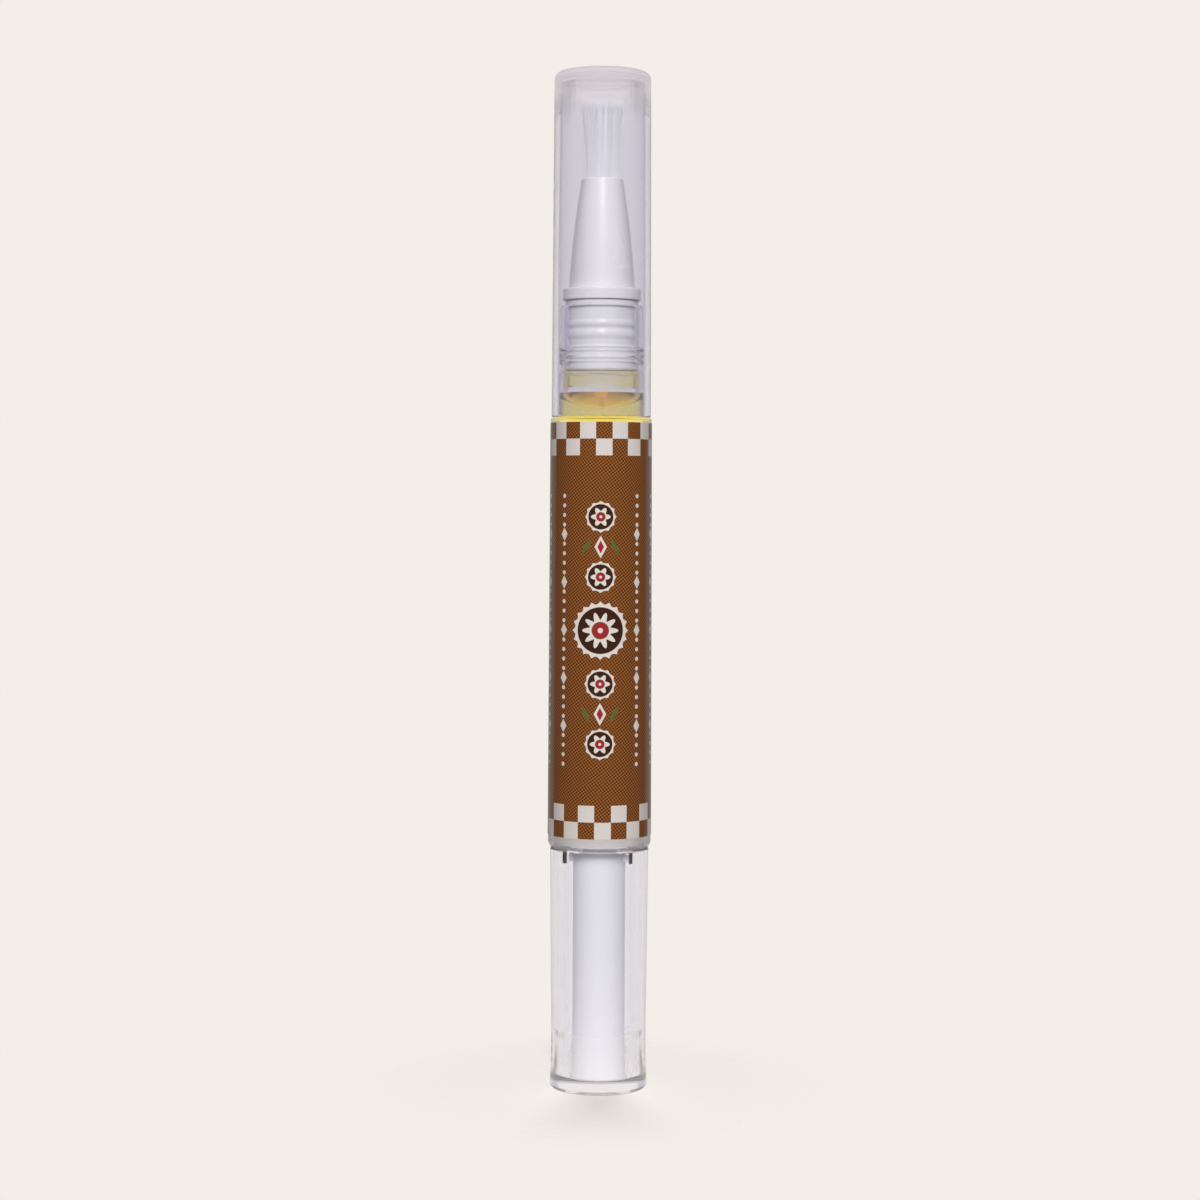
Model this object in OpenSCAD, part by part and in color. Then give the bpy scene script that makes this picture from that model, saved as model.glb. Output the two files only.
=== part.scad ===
// Twist-up nail oil pen: a clear barrel of oil with a brush under a clear cap.
// Turning the clear knob at the foot drives a screw rod and a piston up the barrel.
// Millimetres, +Z up along the pen, origin at the middle of the flat foot.

/* [Barrel] */
// Length of the barrel's wide part
barrel_l = 52.15; // [46:0.05:70]
// Outer radius of the barrel under its shoulder
barrel_r = 6.13; // [5.8:0.01:8]
// How much wider the barrel gets towards its foot
barrel_draft = 0.12; // [0:0.01:0.3]
// Wall of the barrel round the oil
barrel_wall = 0.83; // [0.6:0.01:1.1]
// Height of the bevel round the barrel's foot
barrel_bevel = 0.55; // [0.1:0.05:1]
// Rounding of the shoulder's outer edge
shoulder_round = 0.3; // [0.1:0.05:0.5]
// Height of the cone that closes the bore down to the neck
shoulder_cone = 1; // [0.5:0.1:2]
// Depth of solid wall over the foot of that cone
shoulder_t = 1.4; // [1.2:0.1:2.5]

/* [Neck] */
// Length of the clear neck over the shoulder
neck_l = 13.5; // [11:0.1:18]
// Width of the shoulder's ledge round the neck
ledge_w = 0.96; // [0.7:0.01:1.3]
// Wall of the neck
neck_wall = 0.97; // [0.6:0.01:1.3]
// How much slimmer the neck is over its foot ring
neck_step = 0.12; // [0.05:0.01:0.3]
// Height of the neck's wide foot ring
neck_ring_h = 5.4; // [3:0.1:6]
// Height of the lowest friction rib over the ledge
neck_rib_z = 6.7; // [6.2:0.1:8]
// Step from one friction rib to the next
neck_rib_step = 0.8; // [0.5:0.05:1.2]
// Height of one friction rib
neck_rib_h = 0.36; // [0.2:0.02:0.5]
// How far the friction ribs stand out
neck_rib_out = 0.07; // [0.03:0.01:0.12]

/* [Cap] */
// Length of the cap
cap_l = 42; // [38:0.5:60]
// How far the cap's mouth is set back from the barrel's side
cap_step = 0.08; // [0:0.01:0.3]
// How much slimmer the cap is at its top
cap_draft = 0.17; // [0:0.01:0.4]
// Thickness of the cap's closed top
cap_top_t = 1.45; // [0.8:0.05:2]
// Rounding of the cap's top edge
cap_round = 0.9; // [0.3:0.05:1.5]
// Rounding inside the cap's top
cap_inner_round = 0.6; // [0.2:0.05:1]
// Clearance between the cap's mouth and the neck's foot ring
cap_fit = 0.11; // [0.08:0.01:0.2]
// How much slimmer the cap's bore is at its top
cap_bore_draft = 0.28; // [0.1:0.01:0.3]
// Gap between the cap's mouth and the shoulder
cap_gap = 0.1; // [0.05:0.01:0.3]

/* [Neck plug] */
// Depth of the plug in the neck
plug_l = 7.6; // [6.5:0.1:9]
// Thickness of the plug's flange on the neck
plug_flange_t = 0.7; // [0.4:0.05:1.2]
// How far the plug's flange stays inside the neck's rim
plug_flange_in = 0.6; // [0.3:0.05:0.7]
// Clearance of the plug's plain stretches
plug_ease = 0.08; // [0.04:0.01:0.15]
// Height of one sealing bead
bead_h = 0.8; // [0.4:0.05:1]
// Depth of the upper bead's middle under the neck's rim
bead_top_z = 1.9; // [1.2:0.1:2.5]
// Wall between the plug's web and the neck's bore
plug_wall = 0.95; // [0.6:0.05:1.1]
// Thickness of the web that holds the feed tube
plug_web_t = 2; // [1.2:0.1:2.4]
// Height of the open cup under the web
plug_cup_h = 2.2; // [1.5:0.1:2.4]

/* [Nozzle] */
// Length of the nozzle's cone over its flange
nozzle_l = 13.46; // [11:0.1:18]
// Thickness of the nozzle's flange
nozzle_flange_t = 1.44; // [0.8:0.02:2]
// How far the flange stands over the neck's bore
nozzle_flange_out = 0.54; // [0.3:0.01:0.6]
// Width of the flange's ledge round the cone
nozzle_ledge = 0.79; // [0.4:0.01:0.9]
// How far the cone's side bulges over a straight line
nozzle_bulge = 0.16; // [0:0.01:0.3]
// Wall of the nozzle round the tuft
nozzle_tip_wall = 0.48; // [0.35:0.01:0.7]
// Depth of the spigot in the plug
spigot_l = 3; // [1.5:0.1:3.2]
// Wall of the spigot
spigot_wall = 0.6; // [0.4:0.05:0.9]
// Rounding of the nozzle's lip
lip_round = 0.2; // [0.05:0.01:0.22]

/* [Brush] */
// Gap between the tuft's tip and the inside of the cap's top
tuft_gap = 2.05; // [1:0.05:4]
// Radius of the tuft at its root
tuft_root_r = 1.9; // [1.6:0.05:2.2]
// Radius of the tuft at its tip
tuft_tip_r = 2.5; // [2:0.05:3]
// How much shorter the outer strands are than the middle ones
tuft_dome = 0.55; // [0:0.05:1]
// How much the strands differ in length
tuft_uneven = 0.3; // [0:0.05:0.6]
// Thickness of the pad that the strands are fused to
pad_t = 0.8; // [0.4:0.05:1.2]
// Depth of the pad's top under the nozzle's lip
pad_depth = 0.8; // [0.3:0.05:1.2]
// Clearance of the tuft in the nozzle's bore
tuft_fit = 0.15; // [0.05:0.01:0.25]
// Length of the sleeve under the tuft
holder_l = 4.4; // [3:0.1:5]
// Width of the ledge that the sleeve stands on
holder_ledge = 0.45; // [0.2:0.05:0.7]
// Outer radius of the feed tube
feed_r = 0.4; // [0.3:0.02:0.42]
// Wall of the feed tube
feed_wall = 0.16; // [0.1:0.01:0.2]
// How far the feed tube stands out of the tuft's pad
feed_out = 1.8; // [0.5:0.1:4]

/* [Label] */
// Bare band of the barrel over its foot
label_foot_gap = 1.55; // [0.8:0.05:12]
// Bare band of the barrel under its shoulder
label_top_gap = 0.65; // [0.3:0.05:1]
// Thickness of the film
label_t = 0.06; // [0.04:0.01:0.12]
// Width of the overlap at the back
label_lap = 1; // [0.5:0.1:3]

/* [Oil] */
// Height of the oil's edge over the shoulder's ledge
oil_z = 2.6; // [0.5:0.1:4]
// How deep the oil's surface dips in the middle
oil_dip = 1.7; // [0.1:0.1:2]
// Film between the oil and the barrel in the model
oil_film = 0.02; // [0.01:0.01:0.04]

/* [Piston] */
// Length of the piston
piston_l = 7.5; // [6:0.1:9]
// Clearance of the piston's lips in the bore
piston_fit = 0.05; // [0.02:0.01:0.1]
// How far the piston's waist stays in from its lips
piston_waist = 0.65; // [0.3:0.05:0.8]
// Height of one lip
lip_h = 1.1; // [0.6:0.1:2]
// Thickness of the piston's crown
crown_t = 1.6; // [1:0.1:2.5]
// Wall of the piston's skirt
skirt_wall = 0.6; // [0.4:0.05:0.8]
// Wall of the socket that holds the rod's head
socket_wall = 0.85; // [0.5:0.05:0.9]
// Gap between the piston's crown and the oil
crown_gap = 0.05; // [0.02:0.01:0.1]

/* [Screw rod] */
// Radius of the rod's thread as a share of the barrel's bore
rod_share = 0.396; // [0.35:0.002:0.43]
// Depth of the thread
thread_depth = 0.5; // [0.3:0.05:0.6]
// Rise of the rod for one turn of the knob
thread_lead = 4; // [3:0.25:5]
// Depth of each of the rod's two flats
flat_depth = 0.75; // [0.5:0.05:0.9]
// How far the rod's neck stays in from the thread's root
rod_neck_in = 0.4; // [0.2:0.05:0.6]
// Length of that neck
rod_neck_l = 0.7; // [0.5:0.05:1]
// How far the rod's head stands out from its neck
rod_head_out = 0.5; // [0.3:0.05:0.7]
// Height of the rod's head
rod_head_h = 1; // [0.6:0.05:1.5]
// Height of the rod's foot over the knob's floor
rod_lift = 0.5; // [0.2:0.05:1]
// Clearance of the nut's thread
thread_fit = 0.12; // [0.1:0.01:0.2]

/* [Drive parts] */
// Running clearance of turning and sliding fits
run_fit = 0.05; // [0.03:0.01:0.08]
// Gap between faces that turn on each other
face_gap = 0.1; // [0.05:0.01:0.2]
// Gap between the knob's rim and the barrel's foot
rim_gap = 0.05; // [0.03:0.01:0.2]
// Depth of the retainer ring in the barrel's foot
ring_inset = 0.3; // [0.1:0.05:0.6]
// Thickness of the retainer ring
ring_t = 1.5; // [1:0.1:2]
// Width of the split in the retainer ring
ring_split = 1; // [0.5:0.1:2]
// Height of the ratchet ring
ratchet_h = 2.4; // [1.5:0.1:3]
// Rim of the ratchet ring behind its teeth
ratchet_rim = 0.45; // [0.3:0.05:0.5]
// Height of the ratchet's teeth
tooth_h = 0.35; // [0.2:0.05:0.4]
// Gap over the core's flange and under the nut
stack_gap = 0.35; // [0.15:0.05:0.6]
// Height of the drive nut
nut_h = 4; // [3:0.1:5]
// Depth of the two grooves round the drive nut
nut_groove = 0.25; // [0.1:0.05:0.4]
// Gap between the drive nut and the piston at rest
nut_gap = 0.9; // [0.5:0.1:1.5]
// Thickness of the click spring's hub
hub_t = 0.45; // [0.3:0.05:0.5]
// Thickness of the click spring's arms
arm_t = 0.3; // [0.2:0.02:0.34]

/* [Core tube] */
// Wall of the keyed bush round the rod
bush_wall = 0.45; // [0.3:0.05:0.6]
// Wall of the core tube
core_wall = 0.57; // [0.4:0.01:0.7]
// How far the core's flange stands out in the barrel
flange_out = 0.9; // [0.5:0.05:1]
// Thickness of the core's flange
flange_t = 0.8; // [0.5:0.05:1.2]
// How much wider the core's foot is
core_foot_out = 0.1; // [0.04:0.01:0.2]
// Width of one driving lug
lug_w = 0.6; // [0.4:0.05:0.9]
// Height of one driving lug
lug_h = 1.2; // [0.8:0.1:1.5]

/* [Knob] */
// Length of the knob
knob_l = 29.2; // [27:0.1:40]
// How far the knob's rim is set back from the barrel's foot
knob_step = 0.27; // [0.1:0.01:0.5]
// How much slimmer the knob gets towards its waist
knob_draft = 0.25; // [0:0.01:0.4]
// How far the foot flares out under the waist
knob_flare = 0.22; // [0:0.01:0.4]
// Height of the flare
knob_flare_h = 5.5; // [3:0.1:9]
// Rounding of the foot's edge
knob_round = 0.5; // [0.2:0.05:0.8]
// Rounding of the rim's edge
rim_round = 0.12; // [0.05:0.01:0.2]
// Thickness of the knob's closed foot
knob_floor = 1.4; // [1:0.05:2]
// Air gap between the knob's bore and the core tube
core_gap = 0.58; // [0.35:0.01:0.8]
// How much narrower the knob's bore is at the core's foot
seat_step = 0.15; // [0.05:0.01:0.2]
// Height of that narrower stretch
seat_l = 5.1; // [3:0.1:8]
// Depth of the two key slots in the knob's mouth
slot_l = 1.6; // [1.3:0.1:2.5]
// How deep the key slots cut into the bore's wall
slot_deep = 0.42; // [0.2:0.02:0.6]

/* [Hidden] */
$fn = 96;
// Cuts run past the faces that they open by this much
over = 0.2;

// Radii, from the barrel's side inwards
barrel_foot_r = barrel_r + barrel_draft;
bore_r = barrel_r - barrel_wall;
neck_r = barrel_r - ledge_w;
neck_top_r = neck_r - neck_step;
neck_bore_r = neck_r - neck_wall;
cap_mouth_r = barrel_r - cap_step;
cap_top_r = cap_mouth_r - cap_draft;
cap_bore_r = neck_r + cap_fit;
cap_bore_top_r = cap_bore_r - cap_bore_draft;
knob_rim_r = barrel_foot_r - knob_step;
knob_waist_r = knob_rim_r - knob_draft;
knob_foot_r = knob_waist_r + knob_flare;
plug_r = neck_bore_r - plug_ease;
plug_flange_r = neck_top_r - plug_flange_in;
plug_bore_r = neck_bore_r - plug_wall;
spigot_r = plug_bore_r - plug_ease;
nozzle_flange_r = neck_bore_r + nozzle_flange_out;
nozzle_foot_r = nozzle_flange_r - nozzle_ledge;
nozzle_bore_r = tuft_root_r + tuft_fit;
nozzle_tip_r = nozzle_bore_r + nozzle_tip_wall;
piston_r = bore_r - piston_fit;

// Radii, from the screw rod outwards
rod_r = bore_r * rod_share;
root_r = rod_r - thread_depth;
rod_flat = rod_r - flat_depth;
rod_neck_r = root_r - rod_neck_in;
rod_head_r = rod_neck_r + rod_head_out;
key_r = rod_r + run_fit;
core_bore_r = key_r + bush_wall;
core_r = core_bore_r + core_wall;
core_foot_r = core_r + core_foot_out;
flange_r = core_r + flange_out;
knob_bore_r = core_r + core_gap;
knob_seat_r = knob_bore_r - seat_step;
slot_r = knob_bore_r + slot_deep;
lug_r = slot_r - face_gap;

// Heights, from the foot upwards
barrel_z = knob_l + rim_gap;
ledge_z = barrel_z + barrel_l;
neck_z = ledge_z + neck_l;
cap_z = ledge_z + cap_gap;
cap_top_z = cap_z + cap_l;
cone_z = ledge_z - shoulder_t;
label_z = barrel_z + label_foot_gap;
label_top_z = ledge_z - label_top_gap;
nozzle_z = neck_z + plug_flange_t;
nozzle_cone_z = nozzle_z + nozzle_flange_t;
nozzle_tip_z = nozzle_cone_z + nozzle_l;
pad_top_z = nozzle_tip_z - pad_depth;
pad_z = pad_top_z - pad_t;
holder_z = pad_z - holder_l;
tuft_top_z = cap_top_z - cap_top_t - tuft_gap;
web_z = neck_z - plug_l + plug_cup_h;
ring_z = barrel_z + ring_inset;
flange_z = ring_z + ring_t + face_gap;
spring_z = flange_z + flange_t + face_gap;
head_z = spring_z + ratchet_h + stack_gap;
nut_z = head_z + stack_gap;
piston_z = nut_z + nut_h + nut_gap;
piston_top_z = piston_z + piston_l;
rod_z = knob_floor + rod_lift;
rod_top_z = piston_z - face_gap;
slot_z = knob_l - slot_l;

// Friction ribs round the neck
neck_ribs = 3;

// Thread: two starts, cut in slices that turn with the lead; crests and flanks in degrees
thread_starts = 2;
slices_per_turn = 12;
rod_crest = 25;
rod_flank = 30;
nut_crest = 32;
nut_flank = 26;

// Ratchet and its spring
teeth = 18;
tooth_ramp_share = 0.9;
arms = 3;
arm_sweep = 62;
arm_steps = 10;
arm_taper_share = 0.33;
valley_r = bore_r - ratchet_rim;
tooth_r = valley_r - tooth_h;
hub_r = core_r + hub_t;

// Where the nozzle's lip starts its rounding, in degrees
lip_from = 15;

// Brush: strands stand on the cells of a round grid, whose middle is left open
strand_rings = 8;
open_rings = 2;
strand_share = 0.6;
strand_mid_share = 0.45;
flare_mid_share = 0.22;
strand_tip_share = 0.5;
// Turn from one strand to the next that mixes long and short ones, in degrees
strand_mix = 137;

// Points on an arc round [x, z]
function arc(x, z, r, from, to, steps) =
    [for (i = [0:steps]) let (a = from + (to - from) * i / steps) [x + r * cos(a), z + r * sin(a)]];

// Outer radius of the barrel at height z
function barrel_side(z) = barrel_foot_r - barrel_draft * (z - barrel_z) / barrel_l;

// A ridge on an outline, h high and out proud of radius r
function ridge(r, z, h, out) = [[r, z - h / 2], [r + out, z - h / 6], [r + out, z + h / 6], [r, z + h / 2]];

// A turned tube from z up by h
module tube(r, bore, z, h) {
    translate([0, 0, z])
        difference() {
            cylinder(r = r, h = h);
            translate([0, 0, -over])
                cylinder(r = bore, h = h + over + over);
        }
}

// Clear cap, closed at the top, its bore widening to the mouth
module overcap() {
    color([0.86, 0.84, 0.9, 0.35])
        rotate_extrude()
            polygon(concat(
                [[cap_bore_r, cap_z], [cap_mouth_r, cap_z]],
                arc(cap_top_r - cap_round, cap_top_z - cap_round, cap_round, 0, 90, 8),
                [[0, cap_top_z], [0, cap_top_z - cap_top_t]],
                arc(cap_bore_top_r - cap_inner_round, cap_top_z - cap_top_t - cap_inner_round,
                    cap_inner_round, 90, 0, 6)
            ));
}

// Grid of the tuft's pad: ring k has 6 k points, numbered from the innermost ring that is kept
function ring_start(k) = 3 * k * (k - 1) - 3 * open_rings * (open_rings - 1);
function grid_point(k, i) = ring_start(k) + i % (6 * k);
function grid_xy(k, i) =
    let (r = tuft_root_r * k / strand_rings, a = 60 * i / k) [r * cos(a), r * sin(a)];

grid = [for (k = [open_rings:strand_rings]) for (i = [0:6 * k - 1]) grid_xy(k, i)];

// Triangular cells between ring k - 1 and ring k
cells = [
    for (k = [open_rings + 1:strand_rings]) for (s = [0:5]) for (j = [0:k - 1])
        for (tip = [0:(j < k - 1 ? 1 : 0)])
            tip == 0
                ? [
                    grid_point(k - 1, s * (k - 1) + j), grid_point(k, s * k + j),
                    grid_point(k, s * k + j + 1)
                ]
                : [
                    grid_point(k - 1, s * (k - 1) + j), grid_point(k, s * k + j + 1),
                    grid_point(k - 1, s * (k - 1) + j + 1)
                ]
];

// A strand's three corners at one level: 0 on the pad, 1 on its way up, 2 at its tip
function strand_corners(cell, level, c) =
    let (
        middle = (grid[cell[0]] + grid[cell[1]] + grid[cell[2]]) / 3,
        out = norm(middle) / tuft_root_r,
        uneven = tuft_uneven * (sin(c * strand_mix) - 1) / 2,
        reach = tuft_top_z - pad_top_z - tuft_dome * out * out + uneven,
        up = [0, strand_mid_share, 1][level],
        spread = 1 + (tuft_tip_r / tuft_root_r - 1) * [0, flare_mid_share, 1][level],
        thick = strand_share * [1, 1, strand_tip_share][level]
    )
    [
        for (v = [0:2])
            let (p = spread * middle + thick * (grid[cell[v]] - middle)) [p.x, p.y, pad_top_z + reach * up]
    ];

// Brush: nylon strands fused to a round pad with an open middle
module bristle_tuft() {
    n = len(grid);
    first = 2 * n;
    points = concat(
        [for (p = grid) [p.x, p.y, pad_top_z]],
        [for (p = grid) [p.x, p.y, pad_z]],
        [for (c = [0:len(cells) - 1]) for (level = [0:2]) each strand_corners(cells[c], level, c)]
    );
    inner = 6 * open_rings;
    outer = 6 * strand_rings;
    edge = ring_start(strand_rings);
    faces = concat(
        [
            for (c = [0:len(cells) - 1]) for (v = [0:2])
                let (w = (v + 1) % 3, a = cells[c][v], b = cells[c][w], foot = first + 9 * c)
                    each [[a, b, foot + w], [a, foot + w, foot + v]]
        ],
        [
            for (c = [0:len(cells) - 1]) for (level = [0:1]) for (v = [0:2])
                let (w = (v + 1) % 3, low = first + 9 * c + 3 * level, high = low + 3)
                    each [[low + v, low + w, high + w], [low + v, high + w, high + v]]
        ],
        [for (c = [0:len(cells) - 1]) let (tip = first + 9 * c + 6) [tip, tip + 1, tip + 2]],
        [for (cell = cells) [n + cell[0], n + cell[2], n + cell[1]]],
        [
            for (i = [0:outer - 1])
                let (a = edge + i, b = edge + (i + 1) % outer) each [[n + a, n + b, b], [n + a, b, a]]
        ],
        [
            for (i = [0:inner - 1])
                let (b = i, a = (i + 1) % inner) each [[n + a, n + b, b], [n + a, b, a]]
        ]
    );
    color([0.93, 0.93, 0.94])
        polyhedron(points, [for (f = faces) [f[0], f[2], f[1]]]);
}

// Sleeve under the tuft, seated on the nozzle's inner ledge
module tuft_holder() {
    color([0.9, 0.9, 0.92])
        tube(nozzle_bore_r, feed_r, holder_z, holder_l);
}

// Fine tube that carries oil from the plug to the tuft
module feed_tube() {
    color([0.85, 0.85, 0.87])
        tube(feed_r, feed_r - feed_wall, web_z - feed_out / 2, pad_top_z + feed_out - web_z + feed_out / 2);
}

// Side of the nozzle's cone as shares of its height, bulging a little
function cone_side(t) =
    [
        nozzle_foot_r + (nozzle_tip_r - nozzle_foot_r) * t + nozzle_bulge * sin(180 * t),
        nozzle_cone_z + (nozzle_l - lip_round) * t
    ];

// White cone with a flange, a spigot below and a stepped bore
module nozzle() {
    cavity_r = nozzle_bore_r - holder_ledge;
    foot_bore_r = spigot_r - spigot_wall;
    color([0.93, 0.93, 0.95])
        rotate_extrude()
            polygon(concat(
                [
                    [foot_bore_r, nozzle_z - spigot_l], [spigot_r, nozzle_z - spigot_l],
                    [spigot_r, nozzle_z], [nozzle_flange_r - lip_round, nozzle_z],
                    [nozzle_flange_r, nozzle_z + lip_round],
                    [nozzle_flange_r, nozzle_cone_z - lip_round],
                    [nozzle_flange_r - lip_round, nozzle_cone_z]
                ],
                [for (i = [0:12]) cone_side(i / 12)],
                arc(nozzle_tip_r - lip_round, nozzle_tip_z - lip_round, lip_round, lip_from, 90, 4),
                [
                    [nozzle_bore_r, nozzle_tip_z], [nozzle_bore_r, holder_z], [cavity_r, holder_z],
                    [foot_bore_r, nozzle_cone_z]
                ]
            ));
}

// White insert in the neck, with two sealing beads, a web for the feed tube and a socket
module neck_plug() {
    foot_z = neck_z - plug_l;
    color([0.88, 0.9, 0.94])
        rotate_extrude()
            polygon(concat(
                [[plug_bore_r, foot_z], [plug_r, foot_z]],
                ridge(plug_r, foot_z + bead_h, bead_h, plug_ease),
                ridge(plug_r, neck_z - bead_top_z - bead_h, bead_h, plug_ease),
                ridge(plug_r, neck_z - bead_top_z, bead_h, plug_ease),
                [
                    [plug_r, neck_z], [plug_flange_r, neck_z], [plug_flange_r, nozzle_z],
                    [spigot_r, nozzle_z], [spigot_r, web_z + plug_web_t], [feed_r, web_z + plug_web_t],
                    [feed_r, web_z], [plug_bore_r, web_z]
                ]
            ));
}

// Clear barrel: a wide bore, a coned shoulder and a ribbed neck
module barrel() {
    color([0.93, 0.93, 0.95, 0.4])
        rotate_extrude()
            polygon(concat(
                [
                    [bore_r, barrel_z], [barrel_foot_r - barrel_bevel / 2, barrel_z],
                    [barrel_side(barrel_z + barrel_bevel), barrel_z + barrel_bevel]
                ],
                arc(barrel_r - shoulder_round, ledge_z - shoulder_round, shoulder_round, 0, 90, 5),
                [
                    [neck_r, ledge_z], [neck_r, ledge_z + neck_ring_h - neck_step],
                    [neck_top_r, ledge_z + neck_ring_h]
                ],
                [
                    for (i = [0:neck_ribs - 1]) let (z = ledge_z + neck_rib_z + neck_rib_step * i)
                        each ridge(neck_top_r, z, neck_rib_h, neck_rib_out)
                ],
                [
                    [neck_top_r, neck_z - neck_step], [neck_top_r - neck_step, neck_z],
                    [neck_bore_r, neck_z], [neck_bore_r, cone_z + shoulder_cone], [bore_r, cone_z]
                ]
            ));
}

// Printed film round the barrel, with its lap at the back
module label() {
    lap = label_lap / barrel_r * 180 / PI;
    color([0.47, 0.26, 0.1]) {
        rotate_extrude()
            polygon([
                [barrel_side(label_z), label_z], [barrel_side(label_z) + label_t, label_z],
                [barrel_side(label_top_z) + label_t, label_top_z], [barrel_side(label_top_z), label_top_z]
            ]);
        rotate([0, 0, 90])
            rotate_extrude(angle = lap)
                polygon([
                    [barrel_side(label_z), label_z], [barrel_side(label_z) + label_t + label_t, label_z],
                    [barrel_side(label_top_z) + label_t + label_t, label_top_z],
                    [barrel_side(label_top_z), label_top_z]
                ]);
    }
}

// Oil from the piston's crown to its dished surface in the neck
module oil_fill() {
    edge_z = ledge_z + oil_z;
    neck_oil_r = neck_bore_r - oil_film;
    dish_r = (neck_oil_r * neck_oil_r + oil_dip * oil_dip) / (2 * oil_dip);
    color([0.93, 0.8, 0.3, 0.6])
        difference() {
            rotate_extrude()
                polygon([
                    [0, piston_top_z + crown_gap], [bore_r - oil_film, piston_top_z + crown_gap],
                    [bore_r - oil_film, cone_z], [neck_oil_r, cone_z + shoulder_cone],
                    [neck_oil_r, edge_z], [0, edge_z]
                ]);
            translate([0, 0, edge_z - oil_dip + dish_r])
                sphere(r = dish_r);
        }
}

// Piston: two lips, a crown and a socket that the rod's head snaps into
module piston() {
    socket_r = rod_head_r + run_fit;
    boss_r = socket_r + socket_wall;
    waist_r = piston_r - piston_waist;
    skirt_r = waist_r - skirt_wall;
    socket_z = piston_z + rod_neck_l - face_gap - run_fit;
    socket_top_z = socket_z + rod_head_h + run_fit + run_fit;
    color([0.9, 0.9, 0.9])
        rotate_extrude()
            polygon([
                [rod_neck_r + run_fit, piston_z], [boss_r, piston_z],
                [boss_r, piston_top_z - crown_t], [skirt_r, piston_top_z - crown_t], [skirt_r, piston_z],
                [piston_r, piston_z], [piston_r, piston_z + lip_h / 2], [waist_r, piston_z + lip_h],
                [waist_r, piston_top_z - lip_h - lip_h], [piston_r, piston_top_z - lip_h],
                [piston_r, piston_top_z - lip_h / 2], [piston_r - lip_h / 2, piston_top_z],
                [0, piston_top_z], [0, socket_top_z], [socket_r, socket_top_z], [socket_r, socket_z],
                [rod_neck_r + run_fit, socket_z]
            ]);
}

// Thread outline as [angle, radius] round one turn, for a crest of half width crest
function thread_outline(major, minor, crest, flank) =
    [
        for (s = [0:thread_starts - 1]) let (pitch = 360 / thread_starts, a = pitch * s)
            each [
                [a - crest, major], [a, major], [a + crest, major], [a + crest + flank, minor],
                [a + pitch / 2 - (pitch / 2 - crest - flank) / 2, minor], [a + pitch / 2, minor],
                [a + pitch / 2 + (pitch / 2 - crest - flank) / 2, minor], [a + pitch - crest - flank, minor]
            ]
    ];

// Screw from z up by h: the outline turns once for each lead, and flat cuts both sides to that depth
module screw(outline, z, h, flat) {
    n = len(outline);
    rings = ceil(h / thread_lead * slices_per_turn);
    points = concat(
        [
            for (i = [0:rings]) let (up = z + h * i / rings)
                for (p = outline)
                    let (
                        a = p[0] + 360 * up / thread_lead,
                        r = p[1] * abs(cos(a)) > flat ? flat / abs(cos(a)) : p[1]
                    )
                        [r * cos(a), r * sin(a), up]
        ],
        [[0, 0, z], [0, 0, z + h]]
    );
    foot = n * (rings + 1);
    sides = [
        for (i = [0:rings - 1]) for (j = [0:n - 1])
            let (a = n * i + j, b = n * i + (j + 1) % n, c = a + n, d = b + n)
                each [[a, c, b], [b, c, d]]
    ];
    ends = [
        for (j = [0:n - 1]) let (k = (j + 1) % n)
            each [[foot, j, k], [foot + 1, n * rings + k, n * rings + j]]
    ];
    polyhedron(points, concat(sides, ends));
}

// Threaded rod with two flats, a neck and a head for the piston
module screw_rod() {
    color([0.92, 0.92, 0.92]) {
        screw(thread_outline(rod_r, root_r, rod_crest, rod_flank), rod_z, rod_top_z - rod_z, rod_flat);
        translate([0, 0, rod_top_z - rod_neck_l])
            cylinder(r = rod_neck_r, h = rod_neck_l + rod_neck_l);
        translate([0, 0, rod_top_z + rod_neck_l])
            cylinder(r = rod_head_r, h = rod_head_h);
    }
}

// Fixed threaded plug in the barrel, with two grooves round it
module drive_nut() {
    color([0.88, 0.88, 0.9])
        difference() {
            translate([0, 0, nut_z])
                cylinder(r = bore_r, h = nut_h);
            for (i = [1:2])
                tube(bore_r + over, bore_r - nut_groove, nut_z + nut_h * i / 3 - nut_groove, nut_groove);
            screw(
                thread_outline(rod_r + thread_fit, root_r + thread_fit, nut_crest, nut_flank),
                nut_z - over, nut_h + over + over, rod_r + rod_r
            );
        }
}

// Fixed ring with saw teeth inside, which the click spring rides on
module ratchet_ring() {
    color([0.85, 0.85, 0.88])
        translate([0, 0, spring_z])
            linear_extrude(ratchet_h)
                difference() {
                    circle(r = bore_r);
                    polygon([
                        for (t = [0:teeth - 1])
                            let (a = 360 * t / teeth, b = a + 360 / teeth * tooth_ramp_share)
                                each [
                                    [valley_r * cos(a), valley_r * sin(a)],
                                    [tooth_r * cos(b), tooth_r * sin(b)]
                                ]
                    ]);
                }
}

// Point i on one side of a spring arm, which leaves the hub and drags its tip in a tooth's valley
function arm_point(i, side) =
    let (
        t = i / arm_steps, a = arm_sweep * (1 - t),
        r = hub_r - run_fit + (valley_r - hub_r) * t * t - arm_t * side * (1 - arm_taper_share * t)
    )
        [r * cos(a), r * sin(a)];

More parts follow.
